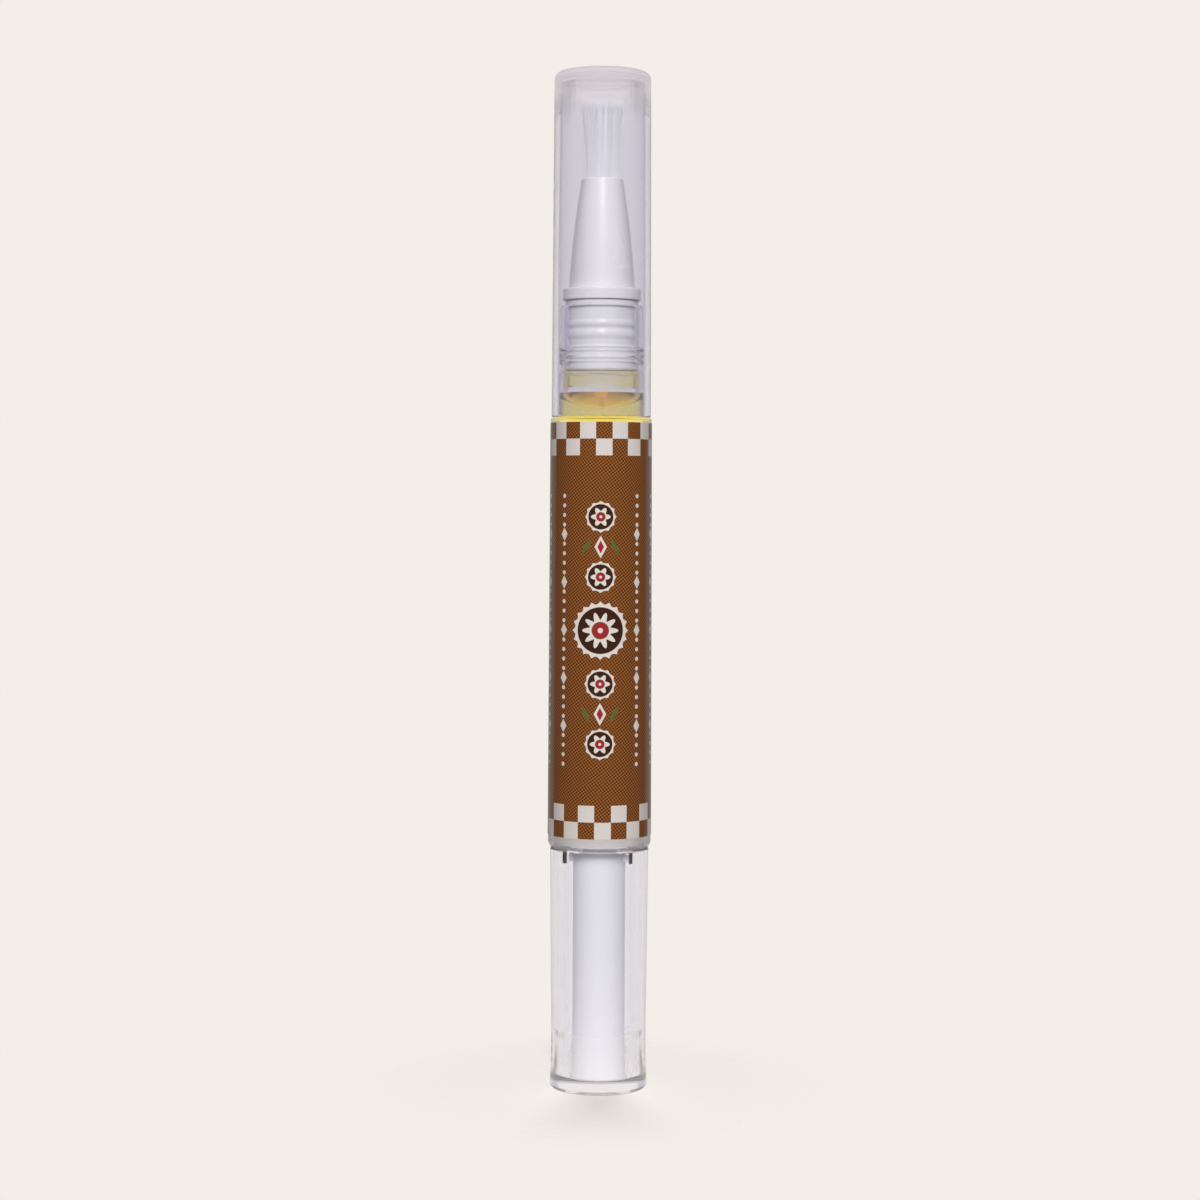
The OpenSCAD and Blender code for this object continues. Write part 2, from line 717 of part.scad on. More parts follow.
// Hub with three springy arms that click over the ratchet's teeth
module click_spring() {
    spring_h = ratchet_h - face_gap;
    color([0.8, 0.82, 0.86])
        difference() {
            translate([0, 0, spring_z])
                union() {
                    cylinder(r = hub_r, h = spring_h);
                    for (k = [0:arms - 1])
                        rotate([0, 0, 360 * k / arms])
                            linear_extrude(spring_h)
                                polygon(concat(
                                    [for (i = [0:arm_steps]) arm_point(i, 0)],
                                    [for (i = [arm_steps:-1:0]) arm_point(i, 1)]
                                ));
                }
            translate([0, 0, spring_z - over])
                cylinder(r = core_r, h = spring_h + over + over);
        }
}

// Keyed bush: round outside, and a hole with two flats that turns the rod
module drive_bush() {
    color([0.86, 0.88, 0.92])
        difference() {
            translate([0, 0, flange_z])
                cylinder(r = core_bore_r, h = head_z - flange_z);
            intersection() {
                translate([0, 0, flange_z - over])
                    cylinder(r = key_r, h = head_z - flange_z + over + over);
                translate([-rod_flat - run_fit, -rod_r - over, flange_z - over - over])
                    cube([rod_flat * 2 + run_fit * 2, rod_r * 2 + over * 2, head_z - flange_z + over * 4]);
            }
        }
}

// Split ring that holds the core's flange in the barrel's foot
module retainer_ring() {
    color([0.9, 0.9, 0.93])
        difference() {
            tube(bore_r, core_r + run_fit, ring_z, ring_t);
            translate([0, -ring_split / 2, ring_z - over])
                cube([bore_r + over, ring_split, ring_t + over + over]);
        }
}

// White tube in the knob, with a flange and a head in the barrel and two driving lugs
module core_tube() {
    color([0.93, 0.93, 0.96])
        difference() {
            union() {
                translate([0, 0, knob_floor])
                    cylinder(r = core_r, h = head_z - knob_floor);
                translate([0, 0, knob_floor])
                    cylinder(r = core_foot_r, h = seat_l);
                translate([0, 0, flange_z])
                    cylinder(r = flange_r, h = flange_t);
                intersection() {
                    translate([-lug_r, -lug_w / 2, slot_z + face_gap])
                        cube([lug_r + lug_r, lug_w, lug_h]);
                    cylinder(r = lug_r, h = knob_l);
                }
            }
            translate([0, 0, knob_floor - over])
                cylinder(r = core_bore_r, h = head_z - knob_floor + over + over);
        }
}

// Point on the knob's flare, at share t of its height
function flare_point(t) =
    [knob_waist_r + knob_flare * (1 - t) * (1 - t), knob_round + (knob_flare_h - knob_round) * t];

// Thick clear knob: a flared foot, a stepped bore and two key slots at its mouth
module knob_shell() {
    color([0.9, 0.9, 0.94, 0.35])
        difference() {
            rotate_extrude()
                polygon(concat(
                    [[0, 0]],
                    arc(knob_foot_r - knob_round, knob_round, knob_round, -90, 0, 6),
                    [for (i = [1:6]) flare_point(i / 6)],
                    arc(knob_rim_r - rim_round, knob_l - rim_round, rim_round, 0, 90, 3),
                    [
                        [knob_bore_r, knob_l], [knob_bore_r, knob_floor + seat_l + seat_step],
                        [knob_seat_r, knob_floor + seat_l], [knob_seat_r, knob_floor], [0, knob_floor]
                    ]
                ));
            intersection() {
                translate([-slot_r, -lug_w / 2 - face_gap, slot_z])
                    cube([slot_r + slot_r, lug_w + face_gap + face_gap, slot_l + over]);
                translate([0, 0, slot_z - over])
                    cylinder(r = slot_r, h = slot_l + over + over + over);
            }
        }
}

overcap();
bristle_tuft();
tuft_holder();
feed_tube();
nozzle();
neck_plug();
barrel();
label();
oil_fill();
piston();
screw_rod();
drive_nut();
ratchet_ring();
click_spring();
drive_bush();
retainer_ring();
core_tube();
knob_shell();
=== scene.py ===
# %% [markdown]
# # A nail oil pen in clear plastic
#
# The pen stands upright on its foot. From the bottom up it has a thick clear twist knob with a white tube
# inside, a clear barrel of yellow oil under a printed film, a narrow neck with a white plug, a white
# nozzle with a brush, and a clear cap over the brush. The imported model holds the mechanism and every
# size in metres, so the pieces made here go straight to their places.

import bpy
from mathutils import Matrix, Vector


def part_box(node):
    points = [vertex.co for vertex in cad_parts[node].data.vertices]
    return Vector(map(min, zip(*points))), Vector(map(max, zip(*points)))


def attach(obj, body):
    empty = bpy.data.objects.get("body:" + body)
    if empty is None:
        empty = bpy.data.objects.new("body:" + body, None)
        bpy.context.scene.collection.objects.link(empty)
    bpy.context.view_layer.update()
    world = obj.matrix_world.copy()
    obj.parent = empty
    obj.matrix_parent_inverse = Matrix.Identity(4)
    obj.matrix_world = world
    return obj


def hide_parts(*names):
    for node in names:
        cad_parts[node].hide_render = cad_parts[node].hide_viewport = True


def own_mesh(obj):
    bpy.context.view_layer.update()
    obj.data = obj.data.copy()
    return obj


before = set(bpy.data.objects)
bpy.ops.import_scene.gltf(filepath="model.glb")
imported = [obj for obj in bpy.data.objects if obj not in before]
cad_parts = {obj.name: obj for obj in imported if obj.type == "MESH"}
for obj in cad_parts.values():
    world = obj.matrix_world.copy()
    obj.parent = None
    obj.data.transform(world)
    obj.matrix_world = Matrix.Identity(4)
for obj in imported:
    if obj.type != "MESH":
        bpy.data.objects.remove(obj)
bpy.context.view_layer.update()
print("CAD nodes:", len(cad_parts))

# %% [markdown]
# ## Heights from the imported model
#
# A pen is put together from parts that meet end to end, so where one part stops and the next one starts
# matters more than any single size. The heights could be typed in again, but then the dressed pieces and
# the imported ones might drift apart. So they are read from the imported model, to a hundredth of a
# millimetre, and only the forms between them are given here.

# %% Feet and tops of the parts
import math
import random

import bmesh
import bpy
from mathutils import Matrix, Vector

MM = 0.001


def foot_and_top(node):
    """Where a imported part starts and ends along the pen, in millimetres."""
    low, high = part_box(node)
    return round(low.z / MM, 2), round(high.z / MM, 2)


BARREL_FOOT, NECK_TOP = foot_and_top("barrel")
CORE_FOOT, CORE_TOP = foot_and_top("core_tube")
FILM_FOOT, FILM_TOP = foot_and_top("label")
NOZZLE_FOOT, NOZZLE_TIP = foot_and_top("nozzle")
CAP_MOUTH, CAP_TOP = foot_and_top("overcap")
KNOB_TOP = foot_and_top("knob_shell")[1]
OIL_FOOT = foot_and_top("oil_fill")[0]
PISTON_TOP = foot_and_top("piston")[1]
PLUG_TOP = foot_and_top("neck_plug")[1]
HOLDER_FOOT = foot_and_top("tuft_holder")[0]
print("barrel from", BARREL_FOOT, "to", NECK_TOP, "and its film from", FILM_FOOT, "to", FILM_TOP)

# %% [markdown]
# ## Helpers for turned pieces
#
# Nearly every part of a pen is turned round its axis. On a lathe the maker follows an outline; here an
# outline is a few vertices joined by edges, whose corners are rounded with a bevel before the whole
# outline is spun round Z. Rounded corners matter on glossy plastic, because each one catches a small
# highlight. The outlines are written in millimetres and scaled to metres at the end.

# %% Outlines with rounded corners
HOLD = 0.1
LONG_EDGE = 5 * HOLD


def round_corners(bm, corners, segments):
    """Rounds the outline's corners: corners is a list of (vertex, radius)."""
    for radius in sorted({r for _, r in corners if r > 0}):
        verts = [v for v, r in corners if r == radius]
        bmesh.ops.bevel(
            bm, geom=verts, offset=radius, offset_type="OFFSET", segments=segments, profile=0.5,
            affect="VERTICES", clamp_overlap=True, material=-1,
        )


def hold_long_edges(bm):
    """Splits each long edge of an outline near both ends, so that smooth shading stays true along it."""
    for edge in [e for e in bm.edges if e.calc_length() > LONG_EDGE]:
        for end in edge.verts[:]:
            edge, added = bmesh.utils.edge_split(edge, end, HOLD / edge.calc_length())
            if end in edge.verts:
                edge = next(e for e in added.link_edges if end not in e.verts)


def outline_mesh(points, closed=False, segments=4):
    """A bmesh with one outline in the XZ plane. A point is (radius, height) or (radius, height, rounding)."""
    bm = bmesh.new()
    verts = [bm.verts.new((point[0], 0, point[1])) for point in points]
    for a, b in zip(verts, verts[1:]):
        bm.edges.new((a, b))
    if closed:
        bm.edges.new((verts[-1], verts[0]))
    roundings = [point[2] if len(point) > 2 else 0 for point in points]
    round_corners(bm, list(zip(verts, roundings)), segments)
    hold_long_edges(bm)
    return bm


print("edges longer than", LONG_EDGE, "mm are held", HOLD, "mm from their ends")

# %% Finished turned pieces
TURN_STEPS = 160
MERGE = 0.0001
SHARP_ANGLE = math.radians(32)


def spin_round(bm):
    """Spins all that the bmesh holds once round Z and closes it."""
    bmesh.ops.spin(
        bm, geom=bm.verts[:] + bm.edges[:], cent=(0, 0, 0), axis=(0, 0, 1), dvec=(0, 0, 0),
        angle=math.tau, steps=TURN_STEPS, use_merge=True, use_duplicate=False,
    )
    bmesh.ops.remove_doubles(bm, verts=bm.verts, dist=MERGE)
    bmesh.ops.dissolve_degenerate(bm, edges=bm.edges, dist=MERGE)
    bmesh.ops.recalc_face_normals(bm, faces=bm.faces)


def mark_sharp(bm):
    """Smooth shading, with sharp edges where two faces meet at a clear angle."""
    for face in bm.faces:
        face.smooth = True
    for edge in bm.edges:
        if edge.is_manifold:
            edge.smooth = edge.calc_face_angle(0) < SHARP_ANGLE


def finished_object(name, bm):
    """Scales a bmesh from millimetres to metres, turns it into an object and links it."""
    bmesh.ops.scale(bm, vec=(MM, MM, MM), verts=bm.verts)
    mesh = bpy.data.meshes.new(name)
    bm.to_mesh(mesh)
    bm.free()
    piece = bpy.data.objects.new(name, mesh)
    bpy.context.scene.collection.objects.link(piece)
    print(name, len(mesh.polygons), "faces")
    return piece


def turned(name, points, closed=False, segments=4):
    """A piece turned from an outline that is closed, or that starts and ends on the axis."""
    bm = outline_mesh(points, closed, segments)
    spin_round(bm)
    mark_sharp(bm)
    return finished_object(name, bm)


print("pieces are turned in", TURN_STEPS, "steps")

# %% [markdown]
# ## Helpers for materials
#
# A material is a small network of nodes. It could be drawn by hand in the node editor; here a few
# helpers add a node, link it and set its values, so that each finish below reads as a short recipe.

# %% Adding and feeding nodes
def feed(tree, socket, value):
    """Links a socket to another one, or sets its number or colour."""
    if isinstance(value, bpy.types.NodeSocket):
        tree.links.new(value, socket)
    else:
        socket.default_value = value


def add(tree, kind, values=(), **settings):
    """Adds a node. values is a list of (input's name or number, value or socket)."""
    node = tree.nodes.new(kind)
    for key, value in settings.items():
        setattr(node, key, value)
    for key, value in values:
        feed(tree, node.inputs[key], value)
    return node


def new_material(name):
    """A material with an empty tree and its output. Returns (material, tree, output)."""
    material = bpy.data.materials.new(name)
    material.use_nodes = True
    tree = material.node_tree
    tree.nodes.clear()
    return material, tree, add(tree, "ShaderNodeOutputMaterial")


print("node helpers ready")

# %% Patterns, colours and mixes
MIX_FIRST, MIX_SECOND, MIX_RESULT = 6, 7, 2
NOISE_DETAIL = 3
UNEVEN = 0.15


def place_in_mm(tree):
    """Object coordinates in millimetres."""
    place = add(tree, "ShaderNodeTexCoord").outputs["Object"]
    return add(tree, "ShaderNodeVectorMath", [(0, place), ("Scale", 1 / MM)], operation="SCALE").outputs[0]


def noise(tree, place, scale):
    """Noise of so many patches a millimetre."""
    values = [("Vector", place), ("Scale", scale), ("Detail", NOISE_DETAIL)]
    return add(tree, "ShaderNodeTexNoise", values).outputs["Fac"]


def between(tree, value, low, high):
    """Maps a value from 0..1 to low..high."""
    values = [("Value", value), ("To Min", low), ("To Max", high)]
    return add(tree, "ShaderNodeMapRange", values).outputs["Result"]


def uneven(tree, pattern, roughness):
    """A roughness that a pattern moves a little up and down."""
    return between(tree, pattern, roughness * (1 - UNEVEN), roughness * (1 + UNEVEN))


def fade(tree, value, start, stop, low=0.0, high=1.0):
    """Goes softly from low to high while a value goes from start to stop."""
    values = [("Value", value), ("From Min", start), ("From Max", stop), ("To Min", low), ("To Max", high)]
    return add(tree, "ShaderNodeMapRange", values, interpolation_type="SMOOTHSTEP").outputs["Result"]


def blend_colours(tree, share, first, second):
    """Two colours mixed, with the second one's share."""
    values = [("Factor", share), (MIX_FIRST, first), (MIX_SECOND, second)]
    return add(tree, "ShaderNodeMix", values, data_type="RGBA").outputs[MIX_RESULT]


def mix_shaders(tree, share, first, second):
    """Two shaders mixed, with the second one's share."""
    values = [("Fac", share), (1, first.outputs[0]), (2, second.outputs[0])]
    return add(tree, "ShaderNodeMixShader", values)


print("roughness moves by", UNEVEN, "of itself")

# %% [markdown]
# ## Camera
#
# The photograph is level and taken with a long lens from about thirty centimetres. The horizon lies
# above the middle of the frame, so the lens is shifted down a little, as a product photographer does
# to keep the sides of a bottle parallel. The pen leans a quarter of a degree in the frame, which the
# camera's roll gives.

# %% Camera at the photograph's angle
CAMERA_PLACE = (-0.000105, -0.317, 0.07055)
LEVEL, ROLL = math.radians(90), math.radians(-0.278)

camera_data = bpy.data.cameras.new("camera")
camera_data.lens = 78.0
camera_data.sensor_width = 36.0
camera_data.shift_y = -0.0775
camera_data.clip_start = 0.01
camera = bpy.data.objects.new("camera", camera_data)
camera.location = CAMERA_PLACE
camera.rotation_euler = (LEVEL, ROLL, 0)
bpy.context.scene.collection.objects.link(camera)
bpy.context.scene.camera = camera
print("camera at", [round(v, 4) for v in camera.location])

# %% [markdown]
# ## Light
#
# Clear plastic shows what surrounds it, so the room matters as much as the lamps. The camera sees the
# pale backdrop wherever it looks past the pen. Light that is bent in the plastic sees the same backdrop,
# but it ends in grey at the sides, as when a photographer stands a grey card on either side to draw the
# edges of a bottle; below the horizon, where the cards stop, the sides are a paler grey. Reflections see
# a dim room with a lighter wall behind the pen. Everything else gets a weak neutral dome.
#
# Two large softboxes, one above the camera and one behind, light the pen but are kept out of reflections
# and of the clear plastic. A small strip lamp shows there in their place, because a large lamp would
# wash over the rings and the strip draws the short highlights that they have on the real pen.

# %% Colours of the room
BACKDROP = (0.896, 0.855, 0.807, 1)
SIDE_CARD = (0.50, 0.485, 0.55, 1)
BELOW_CARD = (0.84, 0.81, 0.81, 1)
ROOM = (0.12, 0.12, 0.13, 1)
BACK_WALL = (0.45, 0.44, 0.44, 1)
DOME = (0.12, 0.118, 0.123, 1)
CARD_EDGE = (0.60, 0.76)
HORIZON = (0.0, 0.03)
WALL_EDGE = (0.48, 0.62)
print("backdrop", BACKDROP[:3], "and side cards", SIDE_CARD[:3])

# %% World
world = bpy.data.worlds.new("studio")
world.use_nodes = True
bpy.context.scene.world = world
bpy.context.scene.view_settings.view_transform = "Standard"
tree = world.node_tree
tree.nodes.clear()
rays = add(tree, "ShaderNodeLightPath")
sky = add(tree, "ShaderNodeTexCoord")
heading = add(tree, "ShaderNodeSeparateXYZ", [(0, sky.outputs["Generated"])])
sideways = add(tree, "ShaderNodeMath", [(0, heading.outputs["X"])], operation="ABSOLUTE")
side = blend_colours(tree, fade(tree, heading.outputs["Z"], *HORIZON), BELOW_CARD, SIDE_CARD)
bent = blend_colours(tree, fade(tree, sideways.outputs[0], *CARD_EDGE), BACKDROP, side)
mirrored = blend_colours(tree, fade(tree, heading.outputs["Y"], *WALL_EDGE), ROOM, BACK_WALL)
seen = blend_colours(tree, rays.outputs["Is Glossy Ray"], DOME, mirrored)
seen = blend_colours(tree, rays.outputs["Is Transmission Ray"], seen, bent)
seen = blend_colours(tree, rays.outputs["Is Camera Ray"], seen, BACKDROP)
glow = add(tree, "ShaderNodeBackground", [("Color", seen), ("Strength", 1.0)])
add(tree, "ShaderNodeOutputWorld", [("Surface", glow.outputs[0])])
print("world nodes:", len(tree.nodes))

# %% Softboxes and strip lamp
AIM = Vector((0, 0, 0.07))


def softbox(name, heading, height, wide, tall, power, mirrored):
    """A soft area lamp a metre from the pen. heading is 0 at the camera and height is an angle, in degrees.
    mirrored says whether the lamp shows in reflections and through clear plastic."""
    data = bpy.data.lights.new(name, "AREA")
    data.shape = "RECTANGLE"
    data.size = wide
    data.size_y = tall
    data.energy = power
    lamp = bpy.data.objects.new(name, data)
    turn = math.radians(heading)
    lift = math.radians(height)
    way = Vector((math.sin(turn) * math.cos(lift), -math.cos(turn) * math.cos(lift), math.sin(lift)))
    lamp.location = AIM + way
    lamp.rotation_euler = (AIM - lamp.location).to_track_quat("-Z", "Y").to_euler()
    lamp.visible_glossy = mirrored
    lamp.visible_transmission = mirrored
    bpy.context.scene.collection.objects.link(lamp)
    print(name, "at", [round(v, 3) for v in lamp.location])


softbox("front_softbox", 1.5, 32, 0.30, 0.52, 8.4, mirrored=False)
softbox("strip_lamp", 1.5, 32, 0.3, 0.1, 3.1, mirrored=True)
softbox("back_softbox", 180, 36, 0.5, 0.5, 4.4, mirrored=False)

# %% [markdown]
# ## Floor
#
# The floor is a plain pale disc that takes the soft shadow under the foot. Away from the pen it fades
# out, so that it never shows an edge against the backdrop. It lies a hair below the foot, because two
# faces on the same plane confuse the rays.

# %% Floor
FLOOR_RADIUS, FLOOR_SIDES = 400, 96
FLOOR_FADE = (11.0, 34.0)
HAIR = 0.02

bm = bmesh.new()
bmesh.ops.create_circle(bm, cap_ends=True, segments=FLOOR_SIDES, radius=FLOOR_RADIUS)
bmesh.ops.translate(bm, vec=(0, 0, -HAIR), verts=bm.verts)
floor = finished_object("floor", bm)
material, tree, out = new_material("pale_floor")
distance = add(tree, "ShaderNodeVectorMath", [(0, place_in_mm(tree))], operation="LENGTH")
gone = fade(tree, distance.outputs["Value"], *FLOOR_FADE)
paper = add(tree, "ShaderNodeBsdfDiffuse", [("Color", BACKDROP)])
nothing = add(tree, "ShaderNodeBsdfTransparent")
shown = mix_shaders(tree, gone, paper, nothing)
tree.links.new(shown.outputs[0], out.inputs["Surface"])
floor.data.materials.append(material)

# %% [markdown]
# ## Clear plastic
#
# Each clear part is a closed wall with the bending power of moulded plastic, so it shows the real lines
# where light turns back at the bore. The tint could sit inside the plastic as absorption, which makes
# thick parts darker than thin ones. But the larger pieces wear several finishes each, and with absorption
# inside such a piece turned dark when seen from above. So on them the tint sits in the faces, and only a
# piece with a single finish may absorb.
#
# Four settings bring a wall nearer the hazy real one. The veil is a share of haze in the wall's own tint.
# The straight share lets light go on without bending, with a tint of its own, and it may grow between
# two heights, towards the cap's closed end.

# %% Recipe for clear plastic
PLASTIC_IOR = 1.49
COLOURLESS = (1, 1, 1, 1)
UNBENT = (0.93, 0.915, 0.965, 1)
STREAKS = 0.35


def absorb(tree, out, colour, density):
    """Tints the inside of a piece. The density is for each millimetre of depth."""
    inside = add(tree, "ShaderNodeVolumeAbsorption", [("Color", colour), ("Density", density / MM)])
    tree.links.new(inside.outputs[0], out.inputs["Volume"])


def clear_plastic(
    name, face, roughness, ior=PLASTIC_IOR, veil=0.0, straight=0.0, end=None, unbent=UNBENT, inside=None,
):
    """Polished plastic. face tints each pass through a wall, veil is the share of haze, and straight the
    share of light that goes on unbent, tinted by unbent. end is (low, high, share): between these two
    heights the straight share grows to this one. inside is (colour, density) for absorption."""
    material, tree, out = new_material(name)
    place = place_in_mm(tree)
    streaks = noise(tree, place, STREAKS)
    shown = add(tree, "ShaderNodeBsdfPrincipled", [
        ("Base Color", face), ("Transmission Weight", 1.0 - veil), ("IOR", ior),
        ("Roughness", uneven(tree, streaks, roughness)),
    ])
    share = straight
    if end:
        low, high, most = end
        height = add(tree, "ShaderNodeSeparateXYZ", [(0, place)])
        share = fade(tree, height.outputs["Z"], low, high, straight, most)
    if straight or end:
        clear = add(tree, "ShaderNodeBsdfTransparent", [("Color", unbent)])
        shown = mix_shaders(tree, share, shown, clear)
    tree.links.new(shown.outputs[0], out.inputs["Surface"])
    if inside:
        absorb(tree, out, *inside)
    return material


print("clear plastic bends light by", PLASTIC_IOR)

# %% Clear finishes
clear_cap = clear_plastic(
    "clear_cap", (0.865, 0.855, 0.925, 1), 0.08, veil=0.045,
    end=(117.0, 122.0, 0.65), unbent=(0.97, 0.96, 0.98, 1),
)
cap_end = clear_plastic(
    "cap_end", (0.84, 0.83, 0.89, 1), 0.08, veil=0.12, straight=0.7, unbent=(0.91, 0.90, 0.955, 1),
)
clear_barrel = clear_plastic("clear_barrel", (0.99, 0.985, 1.0, 1), 0.015)
# Painted shade: the barrel's foot under the film gets a grey tint and haze for the shade there.
barrel_rim_shade = clear_plastic("barrel_rim_shade", (0.60, 0.58, 0.62, 1), 0.015, veil=0.35)
rim_bevel_shade = clear_plastic("rim_bevel_shade", (0.60, 0.565, 0.59, 1), 0.015, veil=0.5, straight=0.5)
clear_knob = clear_plastic("clear_knob", (0.955, 0.945, 1.0, 1), 0.015, veil=0.03)
knob_corner = clear_plastic("knob_corner", (0.95, 0.945, 0.985, 1), 0.02, veil=0.25, straight=0.5)
wet_bore = clear_plastic("wet_bore", COLOURLESS, 0.0, ior=1.0)
wet_oil = clear_plastic("wet_oil", COLOURLESS, 0.01, ior=1.08, inside=((0.98, 0.90, 0.12, 1), 1.25))
print("clear finishes ready")

# %% [markdown]
# ## Dressing a clear piece
#
# A real clear wall lets lamplight through, but a path tracer finds lamps only in straight lines and would
# put all that is inside in a hard shadow. So the clear pieces are left out of shadow rays and of soft
# bounced light, and are seen by every other ray. Where a piece wears several finishes, a small rule picks
# one for each face, from where the face is and which way it looks.

# %% Helpers for clear pieces
def lets_light_through(piece):
    """Lamps and soft bounced light pass straight through a clear piece."""
    piece.visible_shadow = False
    piece.visible_diffuse = False


def dress(piece, finishes, choose):
    """Gives a piece its finishes. choose takes a face's middle in millimetres and its normal."""
    for finish in finishes:
        piece.data.materials.append(finish)
    for face in piece.data.polygons:
        face.material_index = finishes.index(choose(face.center / MM, face.normal))
    worn = [face.material_index for face in piece.data.polygons]
    print(piece.name, {finish.name: worn.count(i) for i, finish in enumerate(finishes)})


print("helpers for clear pieces ready")

# %% [markdown]
# ## White plastic
#
# The nozzle, the plug and the tube in the knob are moulded in white plastic. It isn't paper white: it is
# a very light grey with a satin gloss, and the mould leaves it faintly uneven, which a slow noise in the
# colour and roughness and a fine one in the bump give.

# %% Recipe for moulded plastic
SLOW_PATCHES, FINE_PATCHES = 0.25, 6.0
SHADED = 0.93


def moulded_plastic(name, colour, roughness, depth=0.004):
    """Satin moulded plastic with faint unevenness, whose bump is so many millimetres deep."""
    material, tree, out = new_material(name)
    place = place_in_mm(tree)
    slow = noise(tree, place, SLOW_PATCHES)
    fine = noise(tree, place, FINE_PATCHES)
    darker = tuple(c * SHADED for c in colour[:3]) + (1,)
    bump = add(tree, "ShaderNodeBump", [("Height", fine), ("Strength", 0.25), ("Distance", depth * MM)])
    body = add(tree, "ShaderNodeBsdfPrincipled", [
        ("Base Color", blend_colours(tree, slow, darker, colour)), ("Normal", bump.outputs[0]),
        ("IOR", PLASTIC_IOR), ("Roughness", uneven(tree, slow, roughness)),
    ])
    tree.links.new(body.outputs[0], out.inputs["Surface"])
    return material


white_plastic = moulded_plastic("white_plastic", (0.80, 0.785, 0.775, 1), roughness=0.26)
plug_plastic = moulded_plastic("plug_plastic", (0.77, 0.765, 0.755, 1), roughness=0.16, depth=0.002)
core_plastic = moulded_plastic("core_plastic", (0.79, 0.785, 0.80, 1), roughness=0.35)
print("white plastics ready")

# %% [markdown]
# ## Barrel
#
# The barrel is one clear moulding: a wide tube with a bevelled foot, a coned shoulder and a narrow neck.
# The neck has a thicker foot ring and three fine friction ribs that the cap grips. The tube narrows a
# little upwards, so that it slips out of its mould.
#
# Where the oil wets the bore, light goes from plastic to oil almost unbent, so those faces get a wet
# finish with no bending of its own. The short stretch under the film gets two greyer finishes, one for
# its side and one for its bevel. Their grey is painted shade: it stands in for the shade inside the
# barrel's foot under the film.

# %% Sizes of the barrel
LEDGE, SHOULDER, OIL_EDGE = 81.4, 80.0, 84.4
BORE, NECK_BORE, NECK, NECK_SLIM = 5.3, 4.2, 5.17, 5.05
FOOT_R, FOOT_BEVEL = 5.975, 0.55
BARREL_R, BARREL_TAPER = 6.25, 0.12
TAPER_TALL = round(LEDGE - BARREL_FOOT, 2)
NECK_RING = 5.28
RIB_FOOT, RIB_STEP, RIBS = 6.7, 0.75, 3


def barrel_side(height):
    """Radius of the barrel's side at a height."""
    return BARREL_R - BARREL_TAPER * (height - BARREL_FOOT) / TAPER_TALL


def rib(radius, height, tall, out, rounding):
    """Outline points of a small ridge."""
    return [
        (radius, height - tall / 2), (radius + out, height - tall / 6, rounding),
        (radius + out, height + tall / 6, rounding), (radius, height + tall / 2),
    ]


ribs = [p for i in range(RIBS) for p in rib(NECK_SLIM, LEDGE + RIB_FOOT + RIB_STEP * i, 0.5, 0.15, 0.06)]
bevel_r, film_r = (round(barrel_side(z), 4) for z in (BARREL_FOOT + FOOT_BEVEL, FILM_FOOT))
print("barrel's side at its bevel and at the film's foot:", bevel_r, film_r)

# %% Barrel
barrel = turned("barrel_tube", [
    (BORE, BARREL_FOOT, 0.08), (FOOT_R, BARREL_FOOT, 0.15), (bevel_r, BARREL_FOOT + FOOT_BEVEL, 0.2),
    (film_r, FILM_FOOT), (BARREL_R - BARREL_TAPER, LEDGE, 0.15), (NECK, LEDGE, 0.1),
    (NECK, LEDGE + NECK_RING, 0.06), (NECK_SLIM, LEDGE + NECK_RING + 0.12, 0.06), *ribs,
    (NECK_SLIM, NECK_TOP - 0.12, 0.06), (NECK_SLIM - 0.12, NECK_TOP, 0.04), (NECK_BORE, NECK_TOP, 0.05),
    (NECK_BORE, OIL_EDGE), (NECK_BORE, SHOULDER + 1.0, 0.1), (BORE, SHOULDER, 0.15), (BORE, OIL_FOOT),
], closed=True)


def barrel_finish(centre, normal):
    """The finish of one face of the barrel."""
    radius = centre.xy.length
    if OIL_FOOT < centre.z < OIL_EDGE and radius < BORE + 0.01 and normal.xy.dot(centre.xy) < 0:
        return wet_bore
    # The foot under the film wears painted shade.
    if centre.z < FILM_FOOT and radius > BORE + 0.1:
        return rim_bevel_shade if centre.z < BARREL_FOOT + FOOT_BEVEL + 0.03 else barrel_rim_shade
    return clear_barrel


dress(barrel, [clear_barrel, wet_bore, barrel_rim_shade, rim_bevel_shade], barrel_finish)
lets_light_through(barrel)
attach(barrel, "barrel")
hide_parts("barrel")

# %% [markdown]
# ## Oil
#
# The oil fills the bore up into the neck and ends in a deep dish, because it creeps up the wall. The
# part in the barrel shortens as the piston rises, so it is a column of its own, with a mesh of its own.
# The part in the neck keeps its place, a hair above it. Both reach a hair into the wall, so that no
# film of air shows between them.
#
# One finish dresses both parts, so that all of the oil absorbs light alike. An attribute on the faces
# marks the open dish, where light bends and a golden bloom shows. The other faces lie on plastic, on the
# piston or on oil, and let light go on unbent.

# %% Finish of the oil
BLOOM, OIL_YELLOW = (1.0, 0.76, 0.14, 1), (0.994, 0.93, 0.24, 1)
OIL_DEPTH = 0.25


def oil_liquid():
    """Yellow oil. Its open face bends light and has a golden bloom; the other faces do neither."""
    material, tree, out = new_material("nail_oil")
    is_open = add(tree, "ShaderNodeAttribute", attribute_name="open_face").outputs["Fac"]
    body = add(tree, "ShaderNodeBsdfPrincipled", [
        ("Base Color", blend_colours(tree, is_open, COLOURLESS, BLOOM)),
        ("Transmission Weight", between(tree, is_open, 1.0, 0.6)),
        ("IOR", between(tree, is_open, 1.0, 1.47)), ("Roughness", between(tree, is_open, 0.0, 0.12)),
    ])
    tree.links.new(body.outputs[0], out.inputs["Surface"])
    absorb(tree, out, OIL_YELLOW, OIL_DEPTH)
    return material


oil = oil_liquid()
print("oil absorbs", OIL_DEPTH, "a millimetre")

